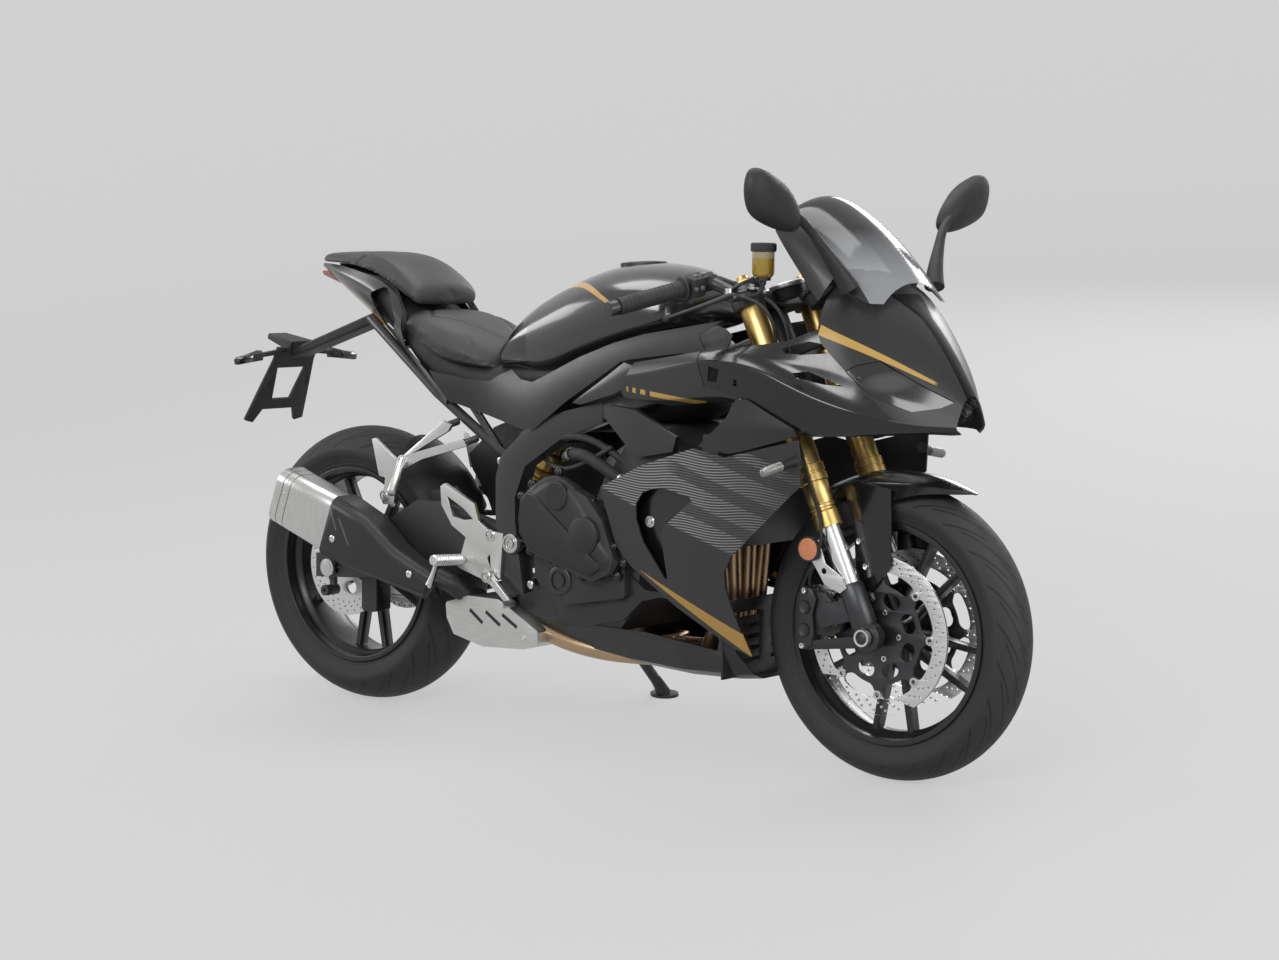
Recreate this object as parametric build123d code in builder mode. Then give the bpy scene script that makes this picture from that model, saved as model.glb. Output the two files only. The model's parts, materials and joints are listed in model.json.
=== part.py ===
from build123d import *
import math
import os

# Sport bike leaning on its side stand, millimetres.
# Every piece is drawn on the upright bike: X forward from the rear axle, Y to the rider's left,
# Z up from the road. At the end the whole bike is leaned over and moved, so that the origin is
# the centre of the underside of its bounding box.

os.makedirs("parts", exist_ok=True)
finished = []


def keep(part, name):
    """Label a finished piece and set it aside for the stance at the end."""
    part.label = name
    finished.append(part)


# ------------------------------------------------------------------------ driving dimensions
wheelbase = 1440
lean = 10                       # degrees to the left, on the side stand
rake = 25                       # degrees, steering axis back from vertical
yoke_offset = 30                # fork legs ahead of the steering axis
leg_spread = 105                # centre plane to each fork leg
running_clearance = 0.05        # pin in its bore, radial
seat_gap = 0.3                  # between pieces that rest on each other
wall = 4                        # moulded panels

# tyres and rims: 120/70-17 in front, 180/55-17 behind
front_tyre_radius = 300
front_tyre_width = 120
rear_tyre_radius = 315
rear_tyre_width = 180
bead_radius = 218
flange_height = 6
front_rim_width = 89            # between the flanges
rear_rim_width = 140
front_shoulder = 42             # tread edge below the crown
rear_shoulder = 53
tread_thickness = 13
sidewall_thickness = 9
rim_wall = 5
rim_well_depth = 13
spoke_pairs = 5
spoke_splay = 12                # degrees from the pair's middle to each spoke at the rim
spoke_width_hub = 17
spoke_width_rim = 12
spoke_half_thickness = 13

front_axle_radius = 12
rear_axle_radius = 12.5
front_hub_radius = 30
front_hub_half_length = 58
rear_hub_radius = 42
rear_hub_half_length = 82

# brake discs
disc_thickness = 5
front_disc_radius = 160
front_disc_inner = 127
front_disc_y = 69
bobbins = 8
bobbin_radius = 9
carrier_ring_width = 12
carrier_arm_width = 12
rear_disc_radius = 114
rear_disc_inner = 74
rear_disc_y = 92
pad_clearance = 5               # disc to caliper, each side

# fork, measured along a leg from the wheel axle
casting_radius = 26
casting_length = 108
axle_boss_radius = 30
axle_boss_length = 28
axle_nut_radius = 17
axle_spacer_radius = 16.5
stanchion_radius = 21.5
outer_tube_start = 251
outer_tube_radius = 27
collar_station = 343
collar_radius = 30
lower_yoke_station = 500
lower_yoke_height = 38
head_tube_start = 530
head_tube_end = 700
head_tube_radius = 30
stem_radius = 16
upper_yoke_station = 715
upper_yoke_height = 24
yoke_clamp_radius = 38
stem_top = upper_yoke_station + upper_yoke_height / 2 + 10
stem_bore = 9                   # open at the top of the stem
stem_bore_depth = 60
clip_on_height = 26
bar_radius = 11
grip_radius = 17
bar_root_radius = 13            # where the bar leaves its clamp
bar_end_radius = 15
bar_end_length = 22
bar_inner = (1096, 176, 993)    # left bar where the grip starts; the right one is its mirror
bar_outer = (1006, 366, 941)

# final drive
chain_y = 105
chain_width = 16
chain_height = 16
rear_sprocket_radius = 112
front_sprocket_radius = 40
output_shaft = (650, 420)       # x, z
swingarm_pivot = (565, 415)
pivot_bolt_radius = 10
bobbin_x = -8                   # lifting boss at the rear of the swingarm
bobbin_z = 262
bobbin_reach = 12
bobbin_bore = 4                 # M8
bobbin_depth = 28

# frame and engine
frame_inner_y = 118
frame_outer_y = 158
crankcase_half_width = 178
head_half_width = 140
header_radius = 19

# side stand
stand_pivot = (560, 142, 262)
stand_foot_x = 648
stand_foot_y = 262
stand_foot_radius = 24
stand_leg_radius = 12
stand_pin_radius = 7

# ------------------------------------------------------------------------ stance
front_tread_half = front_tyre_width / 2
rear_tread_half = rear_tyre_width / 2


def arc_radius(half_chord, rise):
    """Radius of the arc over a chord."""
    return (half_chord ** 2 + rise ** 2) / (2 * rise)


front_crown = arc_radius(front_tread_half, front_shoulder)
rear_crown = arc_radius(rear_tread_half, rear_shoulder)
lift_per_crown = 1 - math.cos(math.radians(lean))
rear_lift = rear_crown * lift_per_crown
front_lift = front_crown * lift_per_crown
pitch = math.degrees(math.atan((rear_lift - front_lift) / wheelbase))
stance = Location((0, 0, rear_lift), (-lean, 0, 0)) * Location((0, 0, 0), (0, pitch, 0))
ground = Plane(stance.inverse())

rear_axle_point = Vector(0, 0, rear_tyre_radius)
front_axle_point = Vector(wheelbase, 0, front_tyre_radius)
leg_plane = Plane(
    front_axle_point,
    x_dir=(math.cos(math.radians(rake)), 0, math.sin(math.radians(rake))),
    z_dir=(-math.sin(math.radians(rake)), 0, math.cos(math.radians(rake))),
)
steer_plane = Plane(
    leg_plane.from_local_coords((-yoke_offset, 0, 0)), x_dir=leg_plane.x_dir, z_dir=leg_plane.z_dir
)


def on_leg(x, y, station):
    """Point of the steered assembly: ahead of the leg's line, to the left, up from the axle."""
    return leg_plane.from_local_coords((x, y, station))


def side_plane(y):
    """Plane of a side view drawn as (x, z), facing right, at this distance to the left."""
    return Plane.XZ.offset(-y)


def plate(outline, inner, outer, corner=0):
    """Solid between two distances from the centre plane, with a side-view outline."""
    with BuildPart() as body:
        with BuildSketch(side_plane(outer)):
            with BuildLine():
                Polyline(*outline, close=True)
            make_face()
            if corner:
                fillet(vertices(), corner)
        extrude(amount=outer - inner)
    return body.part


def skin(rows, thickness):
    """Open-ended shell through sections (x, half outline from the lowest point to the top)."""
    with BuildPart() as body:
        for inset, mode in ((0, Mode.ADD), (thickness, Mode.SUBTRACT)):
            for x, half in rows:
                low, high = half[0][1], half[-1][1]
                ring = [(max(y - inset, 0.5), min(max(z, low + inset), high - inset)) for y, z in half]
                with BuildSketch(Plane.YZ.offset(x)):
                    with BuildLine():
                        Polyline(*ring, *[(-y, z) for y, z in reversed(ring)], close=True)
                    make_face()
            loft(ruled=True, mode=mode)
    return body.part


def cushion(rows):
    """Solid through sections (x, half outline from the lowest point to the top)."""
    with BuildPart() as body:
        for x, half in rows:
            with BuildSketch(Plane.YZ.offset(x)):
                with BuildLine():
                    Polyline(*half, *[(-y, z) for y, z in reversed(half) if y > 0], close=True)
                make_face()
        loft(ruled=True)
    return body.part


def rod(start, end, radius):
    """Round bar between two points."""
    axis = Vector(end) - Vector(start)
    with BuildPart() as body:
        with BuildSketch(Plane(start, z_dir=axis)):
            Circle(radius)
        extrude(amount=axis.length)
    return body.part


def tube(points, radius, bend):
    """Round bar along straight runs with rounded bends."""
    with BuildPart() as body:
        with BuildLine() as path:
            FilletPolyline(*points, radius=bend)
        with BuildSketch(Plane(path.wire() @ 0, z_dir=path.wire() % 0)):
            Circle(radius)
        sweep()
    return body.part


def strut(start, end, start_size, end_size):
    """Tapering bar of rectangular section (across, high) between two points."""
    axis = Vector(end) - Vector(start)
    with BuildPart() as body:
        for point, size in ((start, start_size), (end, end_size)):
            with BuildSketch(Plane(point, x_dir=axis.cross(Vector(0, 0, 1)), z_dir=axis)):
                RectangleRounded(*size, min(size) * 0.25)
        loft(ruled=True)
    return body.part


# ------------------------------------------------------------------------ wheels
# name, x, tyre radius, tyre width, shoulder, rim width, hub radius, hub half length, axle radius
wheel_table = (
    ("front", wheelbase, front_tyre_radius, front_tyre_width, front_shoulder, front_rim_width,
     front_hub_radius, front_hub_half_length, front_axle_radius),
    ("rear", 0, rear_tyre_radius, rear_tyre_width, rear_shoulder, rear_rim_width,
     rear_hub_radius, rear_hub_half_length, rear_axle_radius),
)
for end, x, radius, width, shoulder, rim_width, hub_radius, hub_half, axle_radius in wheel_table:
    centre = (x, 0, radius)
    spin = Axis(centre, (0, 1, 0))
    section = Plane(centre, x_dir=(0, 1, 0), z_dir=(1, 0, 0))
    bead_half = rim_width / 2 - seat_gap
    bead = bead_radius + seat_gap

    with BuildPart() as tyre:
        with BuildSketch(section):
            with BuildLine():
                inner_half = width / 2 - sidewall_thickness
                bead_inner = bead_half - sidewall_thickness
                edge = radius - shoulder
                heel = bead + flange_height + 2
                ThreePointArc((-width / 2, edge), (0, radius), (width / 2, edge))
                Polyline((width / 2, edge), (bead_half, heel), (bead_half, bead), (bead_inner, bead),
                         (bead_inner, heel), (inner_half, edge))
                ThreePointArc((inner_half, edge), (0, radius - tread_thickness), (-inner_half, edge))
                Polyline((-inner_half, edge), (-bead_inner, heel), (-bead_inner, bead), (-bead_half, bead),
                         (-bead_half, heel), (-width / 2, edge))
            make_face()
        revolve(axis=spin)
    keep(tyre.part, f"{end}_tyre")

    with BuildPart() as rim:
        half = rim_width / 2
        well = bead_radius - rim_well_depth
        seat = half - 22
        # flange tip, bead seat and well on one side, then back along the inside of the barrel
        half_profile = [
            (seat - 14, well), (seat, bead_radius - 1), (seat + 2, bead_radius), (half, bead_radius),
            (half, bead_radius + flange_height), (half + rim_wall, bead_radius + flange_height),
            (half + rim_wall, bead_radius - rim_wall), (seat, bead_radius - rim_wall - 1),
            (seat - 12, well - rim_wall),
        ]
        with BuildSketch(section):
            with BuildLine():
                top = half_profile[:6]
                low = half_profile[6:]
                Polyline(
                    *[(-y, r) for y, r in reversed(top)], *top, *low,
                    *[(-y, r) for y, r in reversed(low)], close=True,
                )
            make_face()
        revolve(axis=spin)
        with BuildSketch(Plane(centre, x_dir=(1, 0, 0), z_dir=(0, -1, 0))):
            Circle(hub_radius)
            with PolarLocations(0, spoke_pairs, start_angle=90 - 36):
                for side in (-1, 1):
                    splay = math.radians(spoke_splay * side)
                    tip = well - rim_wall + 3
                    tip_x, tip_y = tip * math.cos(splay), tip * math.sin(splay)
                    Polygon(
                        (hub_radius * 0.6, side * 2), (tip_x, tip_y - side * spoke_width_rim / 2),
                        (tip_x, tip_y + side * spoke_width_rim / 2),
                        (hub_radius * 0.6, side * (2 + spoke_width_hub)), align=None,
                    )
        extrude(amount=spoke_half_thickness, both=True)
        with BuildSketch(Plane(centre, x_dir=(1, 0, 0), z_dir=(0, -1, 0))):
            Circle(hub_radius)
        extrude(amount=hub_half, both=True)
        with BuildSketch(Plane(centre, x_dir=(1, 0, 0), z_dir=(0, -1, 0))):
            Circle(axle_radius + running_clearance)
        extrude(amount=hub_half + 1, both=True, mode=Mode.SUBTRACT)
    keep(rim.part, f"{end}_rim")


def brake_disc(centre, y, outer, inner, hub_radius, hub_face):
    """Friction ring on its bobbins, and the carrier that reaches in to the hub's end face."""
    bobbin_circle = inner - 5
    carrier_outer = bobbin_circle - 8
    with BuildPart() as disc:
        with BuildSketch(Plane((centre.X, y + disc_thickness / 2, centre.Z), z_dir=(0, -1, 0))):
            Circle(outer)
            Circle(inner, mode=Mode.SUBTRACT)
            with PolarLocations(bobbin_circle, bobbins):
                Circle(bobbin_radius)
            Circle(carrier_outer)
            Circle(carrier_outer - carrier_ring_width, mode=Mode.SUBTRACT)
            with PolarLocations((bobbin_circle - 14 + hub_radius) / 2, bobbins, start_angle=20):
                Rectangle(bobbin_circle - hub_radius, carrier_arm_width)
            Circle(hub_radius + 8)
            Circle(front_axle_radius + 6, mode=Mode.SUBTRACT)
        extrude(amount=disc_thickness)
        side = math.copysign(1, y)
        with BuildSketch(Plane((centre.X, y, centre.Z), z_dir=(0, -side, 0))):
            Circle(hub_radius)
            Circle(front_axle_radius + 6, mode=Mode.SUBTRACT)
        extrude(amount=abs(y) - hub_face - seat_gap)
    return disc.part


with BuildPart() as front_brake_discs:
    for side in (-1, 1):
        add(brake_disc(front_axle_point, side * front_disc_y, front_disc_radius, front_disc_inner,
                       front_hub_radius, front_hub_half_length))
keep(front_brake_discs.part, "front_brake_discs")

with BuildPart() as rear_brake_disc:
    add(brake_disc(rear_axle_point, -rear_disc_y, rear_disc_radius, rear_disc_inner,
                   front_hub_radius, rear_hub_half_length))
keep(rear_brake_disc.part, "rear_brake_disc")

with BuildPart() as rear_sprocket:
    with BuildSketch(side_plane(chain_y + 3)):
        with Locations((0, rear_tyre_radius)):
            Circle(rear_sprocket_radius - chain_height / 2 - 0.5)
            Circle(rear_axle_radius + 6, mode=Mode.SUBTRACT)
            with PolarLocations(68, 5):
                Circle(20, mode=Mode.SUBTRACT)
    extrude(amount=6)
    with BuildSketch(side_plane(chain_y)):
        with Locations((0, rear_tyre_radius)):
            Circle(rear_hub_radius)
            Circle(rear_axle_radius + 6, mode=Mode.SUBTRACT)
    extrude(amount=chain_y - rear_hub_half_length - seat_gap)
keep(rear_sprocket.part, "rear_sprocket")

# ------------------------------------------------------------------------ steered assembly
leg_sides = (-leg_spread, leg_spread)


def leg_bar(start, end, radius):
    """The same round length on both fork legs."""
    with BuildPart() as bars:
        with BuildSketch(leg_plane.offset(start)):
            with Locations(*[(0, y) for y in leg_sides]):
                Circle(radius)
        extrude(amount=end - start)
    return bars.part


with BuildPart() as fork_outer_tubes:
    add(leg_bar(outer_tube_start, upper_yoke_station + upper_yoke_height / 2 + clip_on_height + 6,
                outer_tube_radius))
    add(leg_bar(collar_station - 14, collar_station + 14, collar_radius))
    add(leg_bar(outer_tube_start - 20, outer_tube_start + 14, outer_tube_radius + 1))
    add(leg_bar(outer_tube_start - 21, outer_tube_start, stanchion_radius + running_clearance),
        mode=Mode.SUBTRACT)
keep(fork_outer_tubes.part, "fork_outer_tubes")

with BuildPart() as fork_lower_legs:
    add(leg_bar(casting_length - 10, outer_tube_start - seat_gap, stanchion_radius))
    add(leg_bar(22, casting_length, casting_radius))
    for y in leg_sides:
        side = math.copysign(1, y)
        with BuildSketch(Plane((wheelbase, y - side * axle_boss_length / 2, front_tyre_radius),
                               z_dir=(0, side, 0))):
            Circle(axle_boss_radius)
        extrude(amount=axle_boss_length)
        with BuildSketch(Plane(on_leg(-58, y - side * 9, 74), x_dir=leg_plane.x_dir, z_dir=(0, side, 0))):
            Rectangle(78, 40)
        extrude(amount=18)
    with BuildSketch(Plane(front_axle_point, z_dir=(0, 1, 0))):
        Circle(front_axle_radius + running_clearance)
    extrude(amount=leg_spread + 40, both=True, mode=Mode.SUBTRACT)
keep(fork_lower_legs.part, "fork_lower_legs")

with BuildPart() as front_axle:
    add(rod((wheelbase, -leg_spread - 24, front_tyre_radius), (wheelbase, leg_spread + 24, front_tyre_radius),
            front_axle_radius))
    for side in (-1, 1):
        boss_end = leg_spread + axle_boss_length / 2 + seat_gap
        boss_start = leg_spread - axle_boss_length / 2 - seat_gap
        add(rod((wheelbase, side * boss_end, front_tyre_radius),
                (wheelbase, side * (leg_spread + 26), front_tyre_radius), axle_nut_radius))
        add(rod((wheelbase, side * (front_hub_half_length + seat_gap), front_tyre_radius),
                (wheelbase, side * boss_start, front_tyre_radius), axle_spacer_radius))
keep(front_axle.part, "front_axle")


def yoke(station, height, stem_hole):
    """Clamp plate across both legs and the steering stem."""
    with BuildPart() as plate_body:
        with BuildSketch(leg_plane.offset(station - height / 2)):
            with BuildLine():
                Polyline((-yoke_offset - 34, -34), (-yoke_offset - 34, 34), (18, leg_spread),
                         (30, leg_spread - 30), (16, 0), (30, 30 - leg_spread), (18, -leg_spread),
                         close=True)
            make_face()
            with Locations((0, -leg_spread), (0, leg_spread)):
                Circle(yoke_clamp_radius)
            with Locations((0, -leg_spread), (0, leg_spread)):
                Circle(outer_tube_radius + running_clearance, mode=Mode.SUBTRACT)
            if stem_hole:
                with Locations((-yoke_offset, 0)):
                    Circle(stem_radius + running_clearance, mode=Mode.SUBTRACT)
        extrude(amount=height)
    return plate_body.part


with BuildPart() as lower_yoke:
    add(yoke(lower_yoke_station, lower_yoke_height, False))
    with BuildSketch(steer_plane.offset(lower_yoke_station - lower_yoke_height / 2)):
        Circle(stem_radius)
    extrude(amount=stem_top - lower_yoke_station + lower_yoke_height / 2)
    with BuildSketch(steer_plane.offset(stem_top)):
        Circle(stem_bore)
    extrude(amount=-stem_bore_depth, mode=Mode.SUBTRACT)
keep(lower_yoke.part, "lower_yoke")

with BuildPart() as upper_yoke:
    add(yoke(upper_yoke_station, upper_yoke_height, True))
    with BuildSketch(steer_plane.offset(upper_yoke_station + upper_yoke_height / 2)):
        Circle(24)
        Circle(stem_radius + running_clearance, mode=Mode.SUBTRACT)
    extrude(amount=12)
keep(upper_yoke.part, "upper_yoke")

clip_on_station = upper_yoke_station + upper_yoke_height / 2 + seat_gap
clip_on_middle = clip_on_station + clip_on_height / 2


def mirrored(point, side):
    """A point of the left side, or its mirror on the right."""
    point = Vector(point)
    return Vector(point.X, side * point.Y, point.Z)


bar_axis = (Vector(bar_outer) - Vector(bar_inner)).normalized()
with BuildPart() as handlebars:
    for side in (-1, 1):
        root = on_leg(0, side * leg_spread, clip_on_middle)
        with BuildSketch(leg_plane.offset(clip_on_station)):
            with Locations((0, side * leg_spread)):
                Circle(yoke_clamp_radius)
        extrude(amount=clip_on_height)
        add(rod(root, mirrored(bar_inner, side), bar_root_radius))
        add(rod(mirrored(bar_inner, side), mirrored(bar_outer, side), bar_radius))
        add(rod(mirrored(Vector(bar_outer) + bar_axis * seat_gap, side),
                mirrored(Vector(bar_outer) + bar_axis * bar_end_length, side), bar_end_radius))
        add(rod(mirrored(Vector(bar_outer), side), mirrored(Vector(bar_outer) + bar_axis * 2, side), bar_radius))
    with BuildSketch(leg_plane.offset(clip_on_station - 10)):
        with Locations(*[(0, y) for y in leg_sides]):
            Circle(outer_tube_radius + running_clearance)
    extrude(amount=clip_on_height + 30, mode=Mode.SUBTRACT)
keep(handlebars.part, "handlebars")

grip_start = 62                 # along the bar, past the switch housings
with BuildPart() as grips:
    for side in (-1, 1):
        start = mirrored(Vector(bar_inner) + bar_axis * grip_start, side)
        add(rod(start, mirrored(bar_outer, side), grip_radius))
        add(rod(mirrored(Vector(bar_inner) + bar_axis * (grip_start - 2), side),
                mirrored(Vector(bar_outer) + bar_axis * 2, side), bar_radius + running_clearance),
            mode=Mode.SUBTRACT)
keep(grips.part, "grips")

with BuildPart() as switch_housings:
    for side in (-1, 1):
        across = mirrored(bar_axis, side)
        start = mirrored(Vector(bar_inner) + bar_axis * 26, side)
        with BuildSketch(Plane(start, x_dir=across.cross(Vector(0, 0, 1)), z_dir=across)):
            RectangleRounded(42, 46, 8)
            Circle(bar_radius + running_clearance, mode=Mode.SUBTRACT)
        extrude(amount=grip_start - 26 - seat_gap)

# lever points of the left side: clamp on the bar, pivot and tip
lever_pivot = (1150, 196, 966)
lever_tip = (1104, 336, 920)
with BuildPart() as hand_levers:
    for side in (-1, 1):
        clamp = mirrored(Vector(bar_inner) + bar_axis * 13, side)
        across = mirrored(bar_axis, side)
        with BuildSketch(Plane(clamp - across * 10, x_dir=across.cross(Vector(0, 0, 1)), z_dir=across)):
            Circle(19)
        extrude(amount=20)
        add(strut(clamp, mirrored(lever_pivot, side), (22, 24), (22, 20)))
        add(strut(mirrored(lever_pivot, side) - across * 12, mirrored(lever_tip, side), (20, 12), (12, 9)))
    add(handlebars.part, mode=Mode.SUBTRACT)
    add(switch_housings.part)
keep(hand_levers.part, "hand_controls")

reservoir = (1202, 152)         # x and right-hand distance of its middle
with BuildPart() as brake_reservoir:
    with BuildSketch(Plane((reservoir[0], -reservoir[1], 1002))):
        Circle(23)
    extrude(amount=50)
    with BuildSketch(Plane((reservoir[0], -reservoir[1], 1052))):
        Circle(25)
    extrude(amount=17)
    add(strut((reservoir[0] - 6, -reservoir[1] - 20, 1000), (1158, -lever_pivot[1] + 6, 979), (14, 10), (14, 10)))
    add(rod((reservoir[0], -reservoir[1], 996), (reservoir[0], -reservoir[1], 1003), 16))
keep(brake_reservoir.part, "brake_reservoir")

fender_gap = 22
fender_wall = 3
fender_half = 74.6
with BuildPart() as front_fender:
    inner = front_tyre_radius + fender_gap
    edge = inner - 34
    with BuildSketch(Plane(front_axle_point, x_dir=(0, 1, 0), z_dir=(1, 0, 0))):
        with BuildLine():
            ThreePointArc((-fender_half, edge), (0, inner), (fender_half, edge))
            Line((fender_half, edge), (fender_half + fender_wall, edge))
            ThreePointArc((fender_half + fender_wall, edge), (0, inner + fender_wall),
                          (-fender_half - fender_wall, edge))
            Line((-fender_half - fender_wall, edge), (-fender_half, edge))
        make_face()
    revolve(axis=Axis(front_axle_point, (0, 1, 0)))
    with BuildSketch(side_plane(200)):
        with BuildLine():
            Polyline((1318, 586), (1330, 680), (1560, 680), (1612, 590), (1585, 578), (1517, 573),
                     (1480, 562), (1440, 548), (1380, 560), close=True)
        make_face()
    extrude(amount=400, mode=Mode.INTERSECT)
    # arms down to the fork castings
    arm = [(1357, 588), (1467, 592), (1469, 438), (1425, 372), (1396, 376), (1386, 420), (1382, 520)]
    casting_face = leg_spread - casting_radius - seat_gap
    for side in (-1, 1):
        inner_y, outer_y = sorted((side * (casting_face - 2), side * casting_face))
        add(plate(arm, inner_y, outer_y))
    add(fork_outer_tubes.part, mode=Mode.SUBTRACT)
keep(front_fender.part, "front_fender")

with BuildPart() as front_calipers:
    gap = disc_thickness + 2 * pad_clearance
    for side in (-1, 1):
        body_plane = Plane(on_leg(-112, side * (front_disc_y - 32), 72), x_dir=leg_plane.x_dir,
                           z_dir=(0, side, 0))
        with BuildSketch(body_plane):
            RectangleRounded(84, 118, 12)
        extrude(amount=66)
        with BuildSketch(Plane((wheelbase, side * (front_disc_y - gap / 2), front_tyre_radius),
                               z_dir=(0, side, 0))):
            Circle(front_disc_radius + pad_clearance)
        extrude(amount=gap, mode=Mode.SUBTRACT)
    with BuildSketch(Plane((wheelbase, 140, front_tyre_radius), z_dir=(0, -1, 0))):
        Circle(bead_radius - rim_well_depth - rim_wall - 6)
        Circle(front_disc_inner - 24, mode=Mode.SUBTRACT)
    extrude(amount=280, mode=Mode.INTERSECT)
    add(fork_lower_legs.part, mode=Mode.SUBTRACT)
keep(front_calipers.part, "front_calipers")

# ------------------------------------------------------------------------ frame and engine
with BuildPart() as main_frame:
    beam = [(800, 732), (695, 708), (583, 659), (520, 602), (506, 557), (507, 460), (529, 302),
            (587, 310), (562, 464), (561, 517), (589, 585), (685, 647), (800, 690)]
    for side in (-1, 1):
        inner, outer = sorted((side * frame_inner_y, side * frame_outer_y))
        add(plate(beam, inner, outer))
        add(strut((790, side * 138, 711), (1146, side * 26, 852), (40, 42), (40, 84)))
        mount = [(806, 700), (820, 728), (887, 720), (994, 671), (985, 640), (889, 622)]
        inner, outer = sorted((side * (head_half_width + 2), side * frame_outer_y))
        add(plate(mount, inner, outer))
        # post under the front of the tank
        add(rod((860, side * 100, 745), (860, side * 100, 859.7), 10))
    with BuildSketch(steer_plane.offset(head_tube_start)):
        Circle(head_tube_radius)
    extrude(amount=head_tube_end - head_tube_start)
    for x, z, radius in ((556, 318, 16), (560, 640, 18), (600, 664, 12)):
        add(rod((x, -frame_inner_y - 5, z), (x, frame_inner_y + 5, z), radius))
    add(rod((600, 0, 664), (600, 0, 765.7), 14))
    with BuildSketch(side_plane(frame_outer_y + 1)):
        with Locations(swingarm_pivot):
            Circle(pivot_bolt_radius + running_clearance)
    extrude(amount=2 * frame_outer_y + 2, mode=Mode.SUBTRACT)
    with BuildSketch(steer_plane.offset(head_tube_start - 20)):
        Circle(stem_radius + running_clearance)
    extrude(amount=head_tube_end - head_tube_start + 40, mode=Mode.SUBTRACT)

with BuildPart() as subframe:
    for side in (-1, 1):
        add(tube([(524, side * 104, 600), (478, side * 104, 604), (280, side * 98, 724),
                  (40, side * 60, 880)], 11, 60))
        add(rod((524, side * 104, 600), (524, side * (frame_inner_y - seat_gap), 600), 13))
        add(rod((470, side * 103, 612), (350, side * 96, 738), 9))
    for x, z, half in ((300, 712, 100), (130, 822, 78)):
        add(rod((x, -half, z), (x, half, z), 9))

with BuildPart() as engine:
    crankcase = [(662, 300), (690, 256), (850, 256), (900, 320), (905, 430), (860, 500), (740, 520),
                 (640, 500), (612, 440), (618, 350)]
    add(plate(crankcase, 22 - crankcase_half_width, chain_y - chain_width))
    cylinders = [(800, 470), (905, 440), (1022, 588), (960, 690), (880, 690), (790, 560)]
    add(plate(cylinders, -head_half_width, head_half_width, 10))
    crank_ends = [(716, 300), (880, 330), (880, 480), (716, 490)]
    add(plate(crank_ends, -crankcase_half_width, crankcase_half_width, 10))
    # output shaft and front sprocket
    shaft_x, shaft_z = output_shaft
    add(rod((shaft_x, chain_y - chain_width - 5, shaft_z), (shaft_x, chain_y + 12, shaft_z), 14))
    with BuildSketch(side_plane(chain_y + 4)):
        with Locations(output_shaft):
            Circle(front_sprocket_radius - chain_height / 2 - 0.4)
    extrude(amount=8)
keep(engine.part, "engine")

with BuildPart() as engine_covers:
    clutch = [(617, 500), (662, 556), (707, 572), (796, 538), (840, 491), (872, 414), (862, 383),
              (815, 360), (776, 371), (641, 412), (615, 450)]
    add(plate(clutch, -206, -crankcase_half_width - seat_gap, 10))
    alternator_centre = (800, 400)
    with BuildSketch(side_plane(204)):
        with Locations(alternator_centre):
            Circle(74)
    extrude(amount=204 - crankcase_half_width - seat_gap)
    sprocket_cover = [(598, 372), (700, 352), (714, 352), (714, 478), (690, 490), (604, 482), (588, 440)]
    cover_y = chain_y + chain_width / 2 + 12
    rim_start = 716 - seat_gap
    add(plate(sprocket_cover, cover_y, cover_y + 5))
    add(plate([(706, 352), (rim_start, 352), (rim_start, 478), (706, 478)], cover_y, 168))
    add(engine.part, mode=Mode.SUBTRACT)
keep(engine_covers.part, "engine_covers")

with BuildPart() as drive_chain:
    front_x, front_z = output_shaft
    rise = front_z - rear_tyre_radius
    span = math.hypot(front_x, rise)
    tilt = math.degrees(math.atan2(rise, front_x))
    spread = math.degrees(math.asin((rear_sprocket_radius - front_sprocket_radius) / span))
    rear_centre = Vector(0, rear_tyre_radius)
    front_centre = Vector(front_x, front_z)

    def pulley(centre, radius, degrees):
        """Point on a sprocket's pitch circle, in the side view."""
        angle = math.radians(degrees)
        return (centre.X + radius * math.cos(angle), centre.Y + radius * math.sin(angle))

    with BuildSketch(side_plane(chain_y + chain_width / 2)):
        for offset, mode in ((chain_height / 2, Mode.ADD), (-chain_height / 2, Mode.SUBTRACT)):
            rear_r = rear_sprocket_radius + offset
            front_r = front_sprocket_radius + offset
            with BuildLine():
                Line(pulley(rear_centre, rear_r, tilt + 90 - spread), pulley(front_centre, front_r, tilt + 90 - spread))
                ThreePointArc(pulley(front_centre, front_r, tilt + 90 - spread), pulley(front_centre, front_r, tilt),
                              pulley(front_centre, front_r, tilt - 90 + spread))
                Line(pulley(front_centre, front_r, tilt - 90 + spread), pulley(rear_centre, rear_r, tilt - 90 + spread))
                ThreePointArc(pulley(rear_centre, rear_r, tilt - 90 + spread), pulley(rear_centre, rear_r, tilt + 180),
                              pulley(rear_centre, rear_r, tilt + 90 - spread))
            make_face(mode=mode)
    extrude(amount=chain_width)
keep(drive_chain.part, "drive_chain")

with BuildPart() as radiator:
    with BuildSketch(Plane((1088, 0, 565), x_dir=(1, 0, 0.12), z_dir=(0, 1, 0))):
        Rectangle(30, 236)
    extrude(amount=150, both=True)
    for z in (470, 660):
        for side in (-1, 1):
            add(rod((1000, side * 130, 600), (1086, side * 130, z), 7))
    add(engine.part, mode=Mode.SUBTRACT)
keep(radiator.part, "radiator")

with BuildPart() as exhaust_headers:
    for y in (-96, -34, 34, 96):
        inward = y * 0.62
        add(tube([(990, y, 612), (1044, y, 566), (1046, inward, 300), (1006, inward, 208),
                  (830, inward * 0.75, 206)], header_radius, 34))
    add(strut((850, 0, 208), (740, 0, 214), (178, 46), (96, 52)))
    add(strut((742, 0, 214), (645, -50, 226), (70, 50), (60, 50)))
    add(engine.part, mode=Mode.SUBTRACT)
keep(exhaust_headers.part, "exhaust_headers")

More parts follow.
